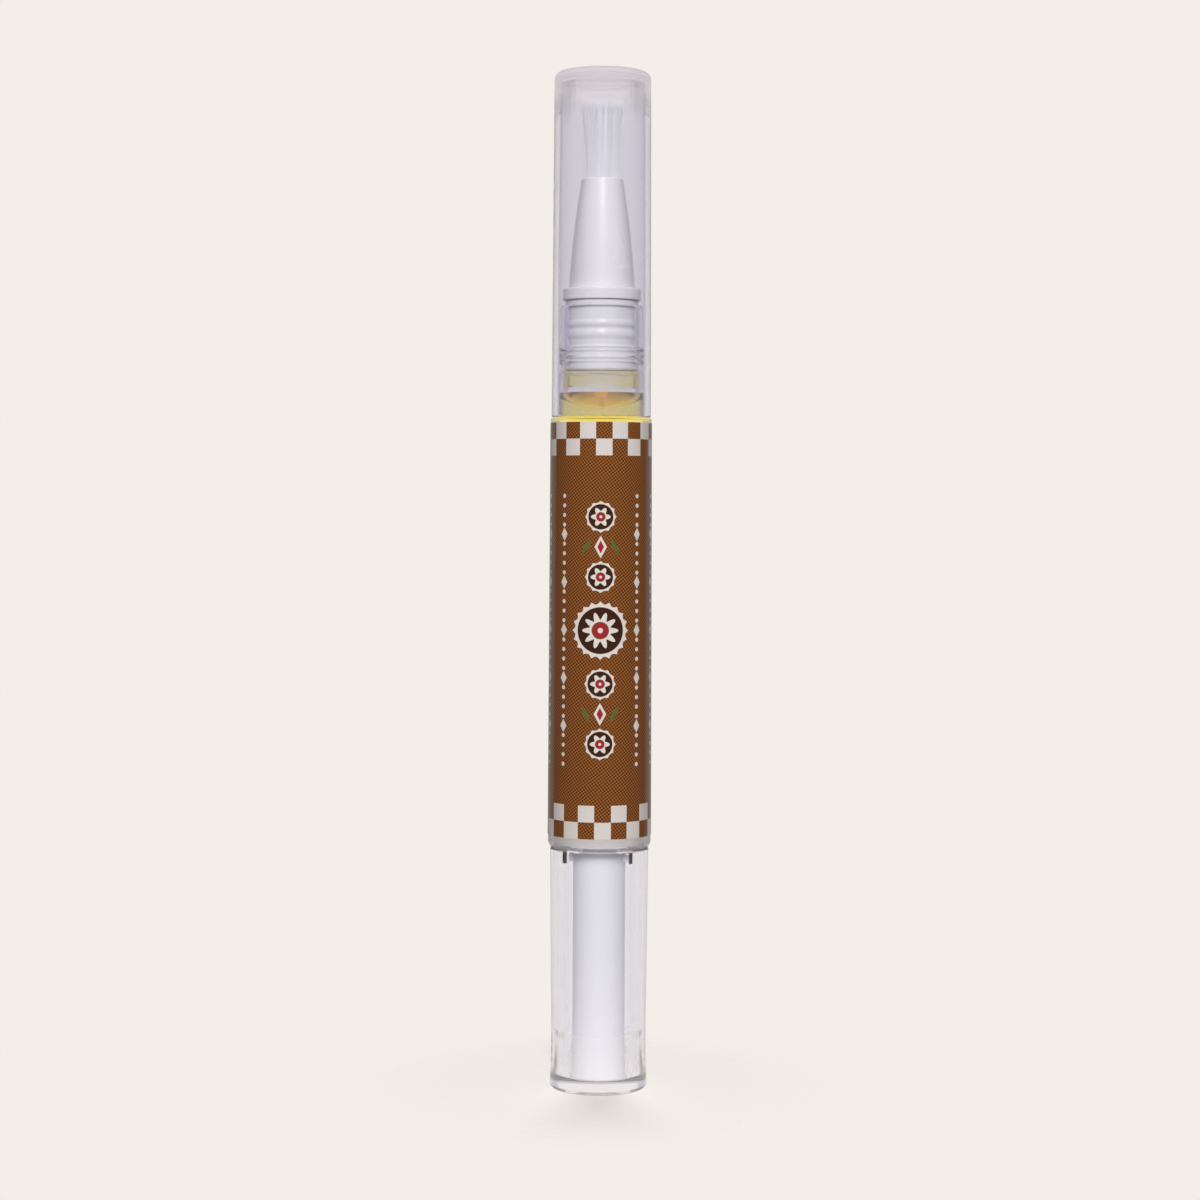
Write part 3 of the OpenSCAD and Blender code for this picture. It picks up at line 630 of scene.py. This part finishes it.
# %% Oil in the neck
OIL_REACH = 0.01
PISTON_TRAVEL = 32.0
COLUMN_LEFT = 0.15
COLUMN_TOP = PISTON_TOP + PISTON_TRAVEL + COLUMN_LEFT
DISH_DEPTH, DISH_STEPS = 2.0, 16

column_r = BORE + OIL_REACH
neck_oil_r = NECK_BORE + OIL_REACH
dish = [
    (neck_oil_r * t, OIL_EDGE - DISH_DEPTH * (1 - t ** 2))
    for t in [i / DISH_STEPS for i in range(DISH_STEPS + 1)]
]
neck_oil = turned("oil_neck", [
    (0, COLUMN_TOP + HAIR), (column_r, COLUMN_TOP + HAIR), (column_r, SHOULDER),
    (neck_oil_r, SHOULDER + 1.0), *reversed(dish),
])
open_face = neck_oil.data.attributes.new("open_face", "FLOAT", "FACE")
for face in neck_oil.data.polygons:
    in_dish = face.normal.z > 0.05 and face.center.z > (OIL_EDGE - DISH_DEPTH - 0.01) * MM
    open_face.data[face.index].value = 1.0 if in_dish else 0.0
print("open faces:", sum(face.value > 0 for face in open_face.data))

# %% Oil in the barrel
column = turned("oil_column", [
    (0, OIL_FOOT), (column_r, OIL_FOOT), (column_r, COLUMN_TOP), (0, COLUMN_TOP),
])
for piece in (neck_oil, column):
    piece.data.materials.append(oil)
    lets_light_through(piece)
    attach(piece, "barrel")
    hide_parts("oil_fill")
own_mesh(column)

# %% [markdown]
# ## Wet ring
#
# Under the plug some oil clings to the wall as a ring with a wavy lower edge. It is a short sleeve whose
# lower vertices are moved up and down by a few sines. It absorbs more than so thin a layer really does,
# because its drops and ridges are too small to model.

# %% Wet ring
WAVE_TOP, WAVE_REACH = 86.1, 1.3
WAVES = ((3, 0.6, 0.22), (7, 0.0, 0.12), (13, 0.0, 0.04))

wet_ring = turned("wet_ring", [
    (neck_oil_r, 84.95, 0.05), (neck_oil_r, 87.28), (3.95, 87.28, 0.1), (3.98, 85.3, 0.15),
], closed=True)
for v in wet_ring.data.vertices:
    low = max(0, min(1, (WAVE_TOP * MM - v.co.z) / (WAVE_REACH * MM)))
    turn = math.atan2(v.co.y, v.co.x)
    v.co.z += low * sum(tall * math.sin(count * turn + start) for count, start, tall in WAVES) * MM
wet_ring.data.materials.append(wet_oil)
lets_light_through(wet_ring)
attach(wet_ring, "barrel")

# %% [markdown]
# ## Cap
#
# The cap is a long thin-walled cup with a thick closed end. Its plastic is a little hazy and lilac next
# to the barrel's. Inside its top there is a shallow round pad where the mould was filled. The closed end
# wears a hazier finish of its own, because so much plastic, seen from the side, would otherwise look
# darker than the real one.

# %% Cap
CAP_END, CAP_INSIDE, CAP_PAD = 122.1, 122.05, 121.8
CAP_MOUTH_R, CAP_END_R, CAP_TOP_R = 6.05, 5.892, 5.88
CAP_MOUTH_BORE, CAP_END_BORE, CAP_TOP_BORE, PAD_R = 5.28, 5.01, 5.0, 3.15

cap = turned("clear_cap", [
    (0, CAP_TOP), (CAP_TOP_R, CAP_TOP, 0.9), (CAP_END_R, CAP_END), (CAP_MOUTH_R, CAP_MOUTH, 0.12),
    (CAP_MOUTH_BORE, CAP_MOUTH, 0.1), (CAP_END_BORE, CAP_END), (CAP_TOP_BORE, CAP_INSIDE, 0.6),
    (PAD_R, CAP_INSIDE, 0.05), (PAD_R - 0.1, CAP_PAD, 0.1), (0, CAP_PAD),
], segments=6)
dress(cap, [clear_cap, cap_end], lambda centre, normal: cap_end if centre.z > CAP_END else clear_cap)
lets_light_through(cap)
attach(cap, "cap")
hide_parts("overcap")

# %% [markdown]
# ## Knob
#
# The knob is turned from thick clear plastic: nearly straight, with a small flare at the foot and a
# stepped bore for the white tube. Three small pockets in its bore take the tube's lugs. They could be
# modelled into the turned wall face by face, but a Boolean modifier that takes three boxes out and is
# then applied is simpler. The foot's rounded edge and the mouth get a hazier finish, and the pockets'
# outer walls a near-black one, which is painted shade: on the real knob the pockets show as short dark
# marks.

# %% Knob
WAIST, FLARE, FLARE_TOP, FLARE_STEPS = 5.73, 0.22, 5.5, 6
FOOT_ROUND, KNOB_FOOT_R, KNOB_MOUTH_R = 0.5, 5.95, 5.98
KNOB_BORE, STEP_TOP, STEP_FOOT, SEAT_R = 3.75, 6.9, 6.3, 3.6

flare = [
    (WAIST + FLARE * (1 - t) ** 2, FOOT_ROUND + (FLARE_TOP - FOOT_ROUND) * t)
    for t in [i / FLARE_STEPS for i in range(1, FLARE_STEPS + 1)]
]
knob = turned("clear_knob", [
    (0, 0), (KNOB_FOOT_R, 0, FOOT_ROUND), *flare, (KNOB_MOUTH_R, KNOB_TOP, 0.28),
    (KNOB_BORE, KNOB_TOP, 0.08), (KNOB_BORE, 27.1), (KNOB_BORE, STEP_TOP, 0.4),
    (SEAT_R, STEP_FOOT, 0.4), (SEAT_R, CORE_FOOT, 0.1), (0, CORE_FOOT),
], segments=6)

# %% Boxes for the key pockets
KEY_FOOT, KEY_TOP = 27.45, 28.65
KEY_TURNS = [math.radians(turn) for turn in (-34, 86, 206)]


def keys(bm, inner, outer, wide, low, high):
    """Three boxes round the axis, from the inner to the outer radius."""
    for turn in KEY_TURNS:
        box = bmesh.ops.create_cube(bm, size=1)["verts"]
        bmesh.ops.scale(bm, vec=(outer - inner, wide, high - low), verts=box)
        bmesh.ops.translate(bm, vec=((inner + outer) / 2, 0, (low + high) / 2), verts=box)
        bmesh.ops.rotate(bm, cent=(0, 0, 0), matrix=Matrix.Rotation(turn, 3, "Z"), verts=box)


bm = bmesh.new()
keys(bm, inner=3.0, outer=3.95, wide=0.34, low=KEY_FOOT, high=KEY_TOP)
cutter = finished_object("slot_cutter", bm)

# %% Key pockets cut out
cut = knob.modifiers.new("slots", "BOOLEAN")
cut.operation = "DIFFERENCE"
cut.object = cutter
cut.solver = "EXACT"
bpy.context.view_layer.update()
bm = bmesh.new()
bm.from_object(knob, bpy.context.evaluated_depsgraph_get())
whole = bm.verts[:] + bm.edges[:] + bm.faces[:]
bmesh.ops.bisect_plane(bm, geom=whole, plane_co=(0, 0, KEY_TOP * MM), plane_no=(0, 0, 1))
mark_sharp(bm)
knob.modifiers.clear()
bm.to_mesh(knob.data)
bm.free()
bpy.data.objects.remove(cutter)
knob.data.materials.clear()
print("knob after the cut:", len(knob.data.polygons), "faces")

# %% Finishes of the knob
MOUTH_EDGE, FOOT_EDGE_R = 29.0, 5.3
# Painted shade: a near-black finish for the pockets' outer walls.
key_shadow = moulded_plastic("key_shadow", (0.035, 0.04, 0.042, 1), roughness=0.5)


def knob_finish(centre, normal):
    """The finish of one face of the knob."""
    radius = centre.xy.length
    if 0.01 < centre.z < FOOT_ROUND and radius > FOOT_EDGE_R or centre.z > MOUTH_EDGE:
        return knob_corner
    # The pockets' outer walls wear painted shade.
    if KEY_FOOT - 0.1 < centre.z < KEY_TOP and KNOB_BORE + 0.01 < radius < 4.1:
        return key_shadow
    return clear_knob


dress(knob, [clear_knob, knob_corner, key_shadow], knob_finish)
lets_light_through(knob)
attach(knob, "knob")
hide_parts("knob_shell")

# %% [markdown]
# ## White parts
#
# The nozzle, the plug and the core tube are the white pieces that show through the clear ones. The
# nozzle is a cone that bulges a little, on a spigot that stands in the plug's socket. The plug seals the
# neck with four round beads. The core tube joins the knob to the drive: its lugs sit in the knob's
# pockets, and its collar turns inside the barrel.

# %% Nozzle
CONE_FOOT, CONE_TALL, CONE_STEPS = 97.04, 13.26, 16
CONE_FOOT_R, CONE_TIP_R, CONE_BULGE = 4.02, 2.55, 0.18
FLANGE_R, SPIGOT_R, TUFT_HOLE, FEED_HOLE = 4.74, 3.17, 2.05, 1.6


def cone_side(t):
    """The cone's outline point at a share of its height, with a slight bulge."""
    radius = CONE_FOOT_R + (CONE_TIP_R - CONE_FOOT_R) * t + CONE_BULGE * math.sin(math.pi * t)
    return radius, CONE_FOOT + CONE_TALL * t


cone = [cone_side(i / CONE_STEPS) for i in range(CONE_STEPS)]
nozzle = turned("nozzle_cone", [
    (2.57, NOZZLE_FOOT, 0.08), (SPIGOT_R, NOZZLE_FOOT, 0.12), (SPIGOT_R, PLUG_TOP),
    (FLANGE_R, PLUG_TOP, 0.15), (FLANGE_R, CONE_FOOT, 0.2), *cone, (2.53, NOZZLE_TIP, 0.2),
    (TUFT_HOLE, NOZZLE_TIP, 0.12), (TUFT_HOLE, HOLDER_FOOT), (FEED_HOLE, HOLDER_FOOT), (2.57, CONE_FOOT),
], closed=True)
nozzle.data.materials.append(white_plastic)
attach(nozzle, "barrel")
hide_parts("nozzle")

# %% Neck plug
PLUG_R, PLUG_FOOT, PLUG_FLANGE_R = 4.02, 86.9, 4.45
CUP_R, SOCKET_R, FEED_R = 3.25, 3.18, 0.41
WEB_FOOT, WEB_TOP = 89.5, 91.5
BEADS = ((88.7, 0.9, 0.14), (89.7, 0.9, 0.14), (91.4, 1.2, 0.15), (92.7, 1.0, 0.15))
BEAD_STEPS = 8


def bead(height, tall, out):
    """Outline points of a round sealing bead on the plug's side."""
    return [
        (PLUG_R + out * math.sin(math.pi * i / BEAD_STEPS), height - tall / 2 + tall * i / BEAD_STEPS)
        for i in range(BEAD_STEPS + 1)
    ]


plug = turned("neck_plug_insert", [
    (CUP_R, PLUG_FOOT, 0.05), (4.1, PLUG_FOOT, 0.4), *[point for one in BEADS for point in bead(*one)],
    (PLUG_R, NECK_TOP), (PLUG_FLANGE_R, NECK_TOP, 0.05), (PLUG_FLANGE_R, PLUG_TOP - HAIR, 0.08),
    (SOCKET_R, PLUG_TOP - HAIR), (SOCKET_R, WEB_TOP), (FEED_R, WEB_TOP), (FEED_R, WEB_FOOT),
    (CUP_R, WEB_FOOT),
], closed=True)
plug.data.materials.append(plug_plastic)
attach(plug, "barrel")
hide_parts("neck_plug")

# %% Core tube
CORE_R, CORE_BORE, CORE_FOOT_R = 3.17, 2.6, 3.27
COLLAR_R, COLLAR_FOOT, COLLAR_TOP = 4.07, 31.15, 31.95

bm = outline_mesh([
    (CORE_BORE, CORE_FOOT), (CORE_FOOT_R, CORE_FOOT, 0.1), (CORE_FOOT_R, 6.5, 0.05), (CORE_R, 6.5),
    (CORE_R, COLLAR_FOOT), (COLLAR_R, COLLAR_FOOT, 0.08), (COLLAR_R, COLLAR_TOP, 0.08),
    (CORE_R, COLLAR_TOP), (CORE_R, CORE_TOP), (CORE_BORE, CORE_TOP),
], closed=True)
spin_round(bm)
keys(bm, inner=2.8, outer=3.88, wide=0.26, low=27.7, high=28.5)
mark_sharp(bm)
core = finished_object("core_tube_white", bm)
core.data.materials.append(core_plastic)
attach(core, "knob")
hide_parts("core_tube")

# %% [markdown]
# ## Brush
#
# The brush is a bundle of fine nylon strands. Hair particles would fill it quickly, but strands that are
# meshes can be exported with the rest. Each starts as a four-sided ring inside the nozzle's tip, is
# extruded level by level with all the others, and spreads outwards at its tip. The strands stand on a
# spiral that fills a round bundle evenly, as seeds do in a sunflower.

# %% Where each strand stands
STRANDS, STRAND_R = 900, 0.045
STRAND_FOOT, TUFT_TOP = 109.7, 120.0
TUFT_R, SPREAD, SPREAD_CURVE, TUFT_CROWN = 1.9, 0.36, 1.8, 0.35
SHORTER, LEAN = 0.45, 0.06

random.seed(7)
seeds = []
for i in range(STRANDS):
    share = math.sqrt((i + 0.5) / STRANDS)
    turn = i * math.pi * (3 - math.sqrt(5))
    shorter = random.uniform(-SHORTER, 0.0)
    lean_x = random.uniform(-LEAN, LEAN)
    lean_y = random.uniform(-LEAN, LEAN)
    seeds.append((share, turn, shorter, lean_x, lean_y))


def strand_place(seed, level):
    """Middle of a strand at one level, from 0 at its foot to 1 at its tip."""
    share, turn, shorter, lean_x, lean_y = seed
    reach = TUFT_TOP - STRAND_FOOT - TUFT_CROWN * share * share + shorter
    wide = TUFT_R * share * (1 + SPREAD * level ** SPREAD_CURVE)
    x = wide * math.cos(turn) + lean_x * level
    y = wide * math.sin(turn) + lean_y * level
    return Vector((x, y, STRAND_FOOT + reach * level))


print("strands:", len(seeds))

# %% Strands
LEVELS, TIP = 6, 0.4

bm = bmesh.new()
strand = bm.verts.layers.int.new("strand")
for i, seed in enumerate(seeds):
    ring = bmesh.ops.create_circle(bm, segments=4, radius=STRAND_R, cap_ends=False)["verts"]
    bmesh.ops.translate(bm, vec=strand_place(seed, 0), verts=ring)
    for v in ring:
        v[strand] = i
edges = bm.edges[:]
for step in range(1, LEVELS + 1):
    made = bmesh.ops.extrude_edge_only(bm, edges=edges)["geom"]
    verts = {g for g in made if isinstance(g, bmesh.types.BMVert)}
    edges = [g for g in made if isinstance(g, bmesh.types.BMEdge) and set(g.verts) <= verts]
    for v in verts:
        seed = seeds[v[strand]]
        below, here = (strand_place(seed, s / LEVELS) for s in (step - 1, step))
        v.co = here + (v.co - below) * (TIP if step == LEVELS else 1.0)
bmesh.ops.holes_fill(bm, edges=edges, sides=4)
bmesh.ops.recalc_face_normals(bm, faces=bm.faces)
mark_sharp(bm)
brush = finished_object("bristles", bm)

# %% Nylon
material, tree, out = new_material("nylon")
stretched = add(
    tree, "ShaderNodeVectorMath", [(0, place_in_mm(tree)), (1, (1, 1, 0.02))], operation="MULTIPLY",
)
streak = noise(tree, stretched.outputs[0], 5.0)
shade = blend_colours(tree, streak, (0.80, 0.81, 0.84, 1), (0.96, 0.96, 0.96, 1))
fibre = add(tree, "ShaderNodeBsdfPrincipled", [("Base Color", shade), ("Roughness", 0.38), ("IOR", 1.53)])
tree.links.new(fibre.outputs[0], out.inputs["Surface"])
brush.data.materials.append(material)
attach(brush, "barrel")
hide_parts("bristle_tuft")
print("nylon nodes:", len(tree.nodes))

# %% [markdown]
# ## Hidden mechanism
#
# The rod, nut, piston, ratchet and spring keep their exact CAD shapes. They get moulded finishes, so
# that they look right in a view with the cap off or the film away.

# %% Finishes for the inner pieces
spring_plastic = moulded_plastic("spring_plastic", (0.72, 0.75, 0.80, 1), roughness=0.3)
inner_pieces = {
    white_plastic: (
        "tuft_holder", "feed_tube", "screw_rod", "drive_nut", "ratchet_ring", "drive_bush", "retainer_ring",
    ),
    plug_plastic: ("piston",),
    spring_plastic: ("click_spring",),
}
for finish, nodes in inner_pieces.items():
    for node in nodes:
        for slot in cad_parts[node].material_slots:
            slot.material = finish
    print(finish.name, "on", *nodes)

# %% [markdown]
# ## Printed film
#
# The film goes once round the barrel and laps over itself at the back. It is made as it is in real life:
# a flat sheet in millimetres gets its thickness, and is then wrapped round the coned barrel. Its last
# stretch is lifted by the film's thickness, where it lies on its own start. The flat sheet's
# coordinates become the UV map, so the print runs on it as it would on paper.

# %% Flat sheet
FILM, FILM_STEPS = 0.06, 172
PRINT_RADIUS = 6.25
LAP, LIFT = 1.0, 0.5
SHEET_START = -math.pi * PRINT_RADIUS
SHEET_END = math.pi * PRINT_RADIUS + LAP
SHEET_HEIGHT = FILM_TOP - FILM_FOOT

bm = bmesh.new()
bmesh.ops.create_grid(bm, x_segments=FILM_STEPS, y_segments=2, size=0.5)
bmesh.ops.scale(bm, vec=(SHEET_END - SHEET_START, SHEET_HEIGHT, 1), verts=bm.verts)
bmesh.ops.translate(bm, vec=((SHEET_START + SHEET_END) / 2, SHEET_HEIGHT / 2, 0), verts=bm.verts)
print_side = bmesh.ops.extrude_face_region(bm, geom=bm.faces[:])["geom"]
top = [g for g in print_side if isinstance(g, bmesh.types.BMVert)]
bmesh.ops.translate(bm, vec=(0, 0, FILM + HAIR), verts=top)
bmesh.ops.recalc_face_normals(bm, faces=bm.faces)
film_uv = bm.loops.layers.uv.new("film")
for face in bm.faces:
    face.material_index = 1 if face.normal.z < -0.5 else 0
    for loop in face.loops:
        loop[film_uv].uv = loop.vert.co.xy
print("flat film:", round(SHEET_END - SHEET_START, 2), "by", round(SHEET_HEIGHT, 2), "mm")

# %% Wrapped film
for v in bm.verts:
    along, height, proud = v.co
    lifted = FILM * min(1, max(0, (along - (SHEET_END - LAP - LIFT)) / LIFT))
    radius = barrel_side(FILM_FOOT + height) - HAIR + proud + lifted
    turn = along / PRINT_RADIUS - math.pi / 2
    v.co = (radius * math.cos(turn), radius * math.sin(turn), FILM_FOOT + height)
mark_sharp(bm)
film = finished_object("printed_film", bm)
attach(film, "barrel")
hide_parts("label")

# %% [markdown]
# ## The print
#
# The print is a warm brown with a fine halftone screen, two rows of cream checks at each end, and a
# garland of rosettes between them, which comes three times round the barrel. Everything is worked out
# from the UV map with small sums: a fold mirrors the garland, and a rosette is a few rings and petals
# in polar coordinates. The helpers keep these sums short.

# %% Sums on sockets
def calc(tree, operation, *values, clamp=False):
    """One Math node. Each value is a number or a socket."""
    node = add(tree, "ShaderNodeMath", list(enumerate(values)), operation=operation, use_clamp=clamp)
    return node.outputs[0]


def reach_from_middle(tree, x, y):
    """Distance from a motif's middle."""
    squares = [calc(tree, "MULTIPLY", side, side) for side in (x, y)]
    return calc(tree, "SQRT", calc(tree, "ADD", *squares))


def inside(tree, distance, edge=0.05):
    """1 where a distance is below zero and 0 where it is above, with a soft edge in millimetres."""
    return calc(tree, "MULTIPLY_ADD", distance, -1 / edge, 0.5, clamp=True)


print("sums ready")

# %% Motifs
CREAM, COCOA, RUSSET = (0.74, 0.68, 0.62, 1), (0.045, 0.014, 0.006, 1), (0.22, 0.045, 0.018, 1)
RED, LEAF = (0.34, 0.02, 0.03, 1), (0.10, 0.13, 0.03, 1)


def paint(tree, under, colour, share):
    """Lays a colour over another where share is 1."""
    return blend_colours(tree, share, under, colour)


def rosette(tree, under, x, y, radius, petals):
    """A round flower: a scalloped cream rim, a dark ring, cream petals and a red middle."""
    reach = reach_from_middle(tree, x, y)
    turn = calc(tree, "MULTIPLY", calc(tree, "ARCTAN2", y, x), float(petals))
    arches = calc(tree, "ABSOLUTE", calc(tree, "SINE", turn))
    scallop = calc(tree, "MULTIPLY_ADD", arches, -0.1 * radius, radius)
    petal = calc(tree, "MULTIPLY_ADD", calc(tree, "COSINE", turn), 0.13 * radius, 0.5 * radius)
    layers = (
        (CREAM, scallop), (COCOA, 0.80 * radius), (CREAM, petal),
        (RUSSET, 0.30 * radius), (RED, 0.24 * radius), (CREAM, 0.09 * radius),
    )
    for colour, edge in layers:
        under = paint(tree, under, colour, inside(tree, calc(tree, "SUBTRACT", reach, edge)))
    return under


def diamond(tree, under, x, y, wide, tall, colour):
    """A diamond with half-width wide and half-height tall."""
    across = calc(tree, "MULTIPLY", calc(tree, "ABSOLUTE", x), 1 / wide)
    along = calc(tree, "MULTIPLY_ADD", calc(tree, "ABSOLUTE", y), 1 / tall, across)
    return paint(tree, under, colour, inside(tree, calc(tree, "MULTIPLY_ADD", along, wide, -wide)))


print("motifs ready")

# %% Brown with its halftone screen
SCREEN, SCREEN_TURN = 0.315, math.radians(37)
DARK_BROWN, WARM_BROWN = (0.025, 0.004, 0.001, 1), (0.365, 0.125, 0.026, 1)

material, tree, out = new_material("printed_film")
flat_print = add(tree, "ShaderNodeUVMap", uv_map="film")
sides = add(tree, "ShaderNodeSeparateXYZ", [(0, flat_print.outputs[0])])
u, v = sides.outputs["X"], sides.outputs["Y"]
screen = []
for lean in (SCREEN_TURN, SCREEN_TURN + math.pi / 2):
    step = math.tau / SCREEN
    along = calc(tree, "MULTIPLY", u, math.cos(lean) * step)
    across = calc(tree, "MULTIPLY_ADD", v, math.sin(lean) * step, along)
    screen.append(calc(tree, "COSINE", across))
dots = calc(tree, "MULTIPLY_ADD", calc(tree, "ADD", *screen), 0.25, 0.5, clamp=True)
printed = blend_colours(tree, dots, DARK_BROWN, WARM_BROWN)
print("nodes of the screen:", len(tree.nodes))

# %% Garland
GARLANDS = 3
LARGE_ROSETTE, LARGE_PETALS = 3.5, 10
SMALL_ROSETTE, SMALL_PETALS = 1.9, 6
SMALL_ROSETTES, BETWEEN_ROSETTES = (6.4, 13.6), 10.0
LEAF_SIDE = 1.75

period = math.tau * PRINT_RADIUS / GARLANDS
column_x = calc(tree, "WRAP", u, period / 2, -period / 2)
row_y = calc(tree, "SUBTRACT", v, SHEET_HEIGHT / 2)
fold_x = calc(tree, "ABSOLUTE", column_x)
fold_y = calc(tree, "ABSOLUTE", row_y)
printed = rosette(tree, printed, column_x, row_y, LARGE_ROSETTE, LARGE_PETALS)
for height in SMALL_ROSETTES:
    rosette_y = calc(tree, "SUBTRACT", fold_y, height)
    printed = rosette(tree, printed, column_x, rosette_y, SMALL_ROSETTE, SMALL_PETALS)
bead_y = calc(tree, "SUBTRACT", fold_y, BETWEEN_ROSETTES)
printed = diamond(tree, printed, column_x, bead_y, 0.75, 1.35, CREAM)
printed = diamond(tree, printed, column_x, bead_y, 0.4, 0.8, RED)
leaf_x = calc(tree, "ADD", calc(tree, "SUBTRACT", fold_x, LEAF_SIDE), calc(tree, "MULTIPLY", bead_y, 0.5))
printed = diamond(tree, printed, leaf_x, bead_y, 0.42, 1.0, LEAF)
print("nodes with the garland:", len(tree.nodes))

# %% Columns of dots
LINE_SIDE, DOT_R, DOT_STEP, DIAMOND_STEP = 4.85, 0.25, 1.15, 5.75
DOTS_END, DIAMONDS_END = 16.7, 15.5

line_x = calc(tree, "SUBTRACT", fold_x, LINE_SIDE)
dot_y = calc(tree, "WRAP", row_y, DOT_STEP / 2, -DOT_STEP / 2)
in_dot = inside(tree, calc(tree, "SUBTRACT", reach_from_middle(tree, line_x, dot_y), DOT_R))
in_column = inside(tree, calc(tree, "SUBTRACT", fold_y, DOTS_END))
printed = paint(tree, printed, CREAM, calc(tree, "MULTIPLY", in_dot, in_column))
long_y = calc(tree, "ABSOLUTE", calc(tree, "WRAP", row_y, DIAMOND_STEP / 2, -DIAMOND_STEP / 2))
past_end = calc(tree, "SUBTRACT", fold_y, DIAMONDS_END)
printed = diamond(tree, printed, line_x, calc(tree, "MAXIMUM", long_y, past_end), 0.5, 0.8, CREAM)
print("nodes with the columns:", len(tree.nodes))

# %% Checks
CHECK, CHECK_START = 2.011, -0.622
CHECK_CREAM = (0.69, 0.63, 0.59, 1)

check_x = calc(tree, "FLOOR", calc(tree, "MULTIPLY_ADD", u, 1 / CHECK, -CHECK_START / CHECK))
is_top = calc(tree, "GREATER_THAN", calc(tree, "SUBTRACT", v, SHEET_HEIGHT - 2 * CHECK), 0.0)
is_low = calc(tree, "LESS_THAN", v, 2 * CHECK)
check_v = calc(tree, "MULTIPLY_ADD", is_top, 2 * CHECK - SHEET_HEIGHT, v)
check_y = calc(tree, "FLOOR", calc(tree, "MULTIPLY", check_v, 1 / CHECK))
odd = calc(tree, "FLOORED_MODULO", calc(tree, "ADD", calc(tree, "ADD", check_x, check_y), 1.0), 2.0)
checked = calc(tree, "MULTIPLY", odd, calc(tree, "ADD", is_top, is_low, clamp=True))
printed = paint(tree, printed, CHECK_CREAM, checked)
print("nodes with the checks:", len(tree.nodes))

# %% [markdown]
# ## Finish of the film
#
# The printed side is glossy, with a faint mottle in its brown and a slight crinkle, and the side that
# lies on the barrel is plain cream. Some lamplight really passes through such a film into the barrel, so
# both sides are see-through to shadow rays only.

# %% Printed side and back of the film
LAMP_TINT = (0.9, 0.86, 0.8, 1)
MOTTLE_COLOUR, MOTTLE_SHARE = (0.02, 0.01, 0.005, 1), 0.06


def lamplit(tree, out, surface):
    """Lets shadow rays pass a surface with a warm tint, and links it to the material's output."""
    rays = add(tree, "ShaderNodeLightPath")
    passed = add(tree, "ShaderNodeBsdfTransparent", [("Color", LAMP_TINT)])
    shown = mix_shaders(tree, rays.outputs["Is Shadow Ray"], surface, passed)
    tree.links.new(shown.outputs[0], out.inputs["Surface"])


place = place_in_mm(tree)
mottle = noise(tree, place, 0.5)
crinkle = noise(tree, place, 2.2)
printed = paint(tree, printed, MOTTLE_COLOUR, calc(tree, "MULTIPLY", mottle, MOTTLE_SHARE))
bump = add(tree, "ShaderNodeBump", [("Height", crinkle), ("Strength", 0.3), ("Distance", 0.006 * MM)])
print_surface = add(tree, "ShaderNodeBsdfPrincipled", [
    ("Base Color", printed), ("Roughness", between(tree, mottle, 0.12, 0.17)), ("IOR", 1.5),
    ("Normal", bump.outputs[0]),
])
lamplit(tree, out, print_surface)
film.data.materials.append(material)
print("nodes of the printed side:", len(tree.nodes))

# %% Back of the film
material, tree, out = new_material("film_back")
mottle = noise(tree, place_in_mm(tree), 0.8)
back_colour = blend_colours(tree, mottle, (0.70, 0.62, 0.52, 1), (0.82, 0.76, 0.68, 1))
back = add(tree, "ShaderNodeBsdfPrincipled", [("Base Color", back_colour), ("Roughness", 0.5)])
lamplit(tree, out, back)
film.data.materials.append(material)
print("nodes of the back:", len(tree.nodes))
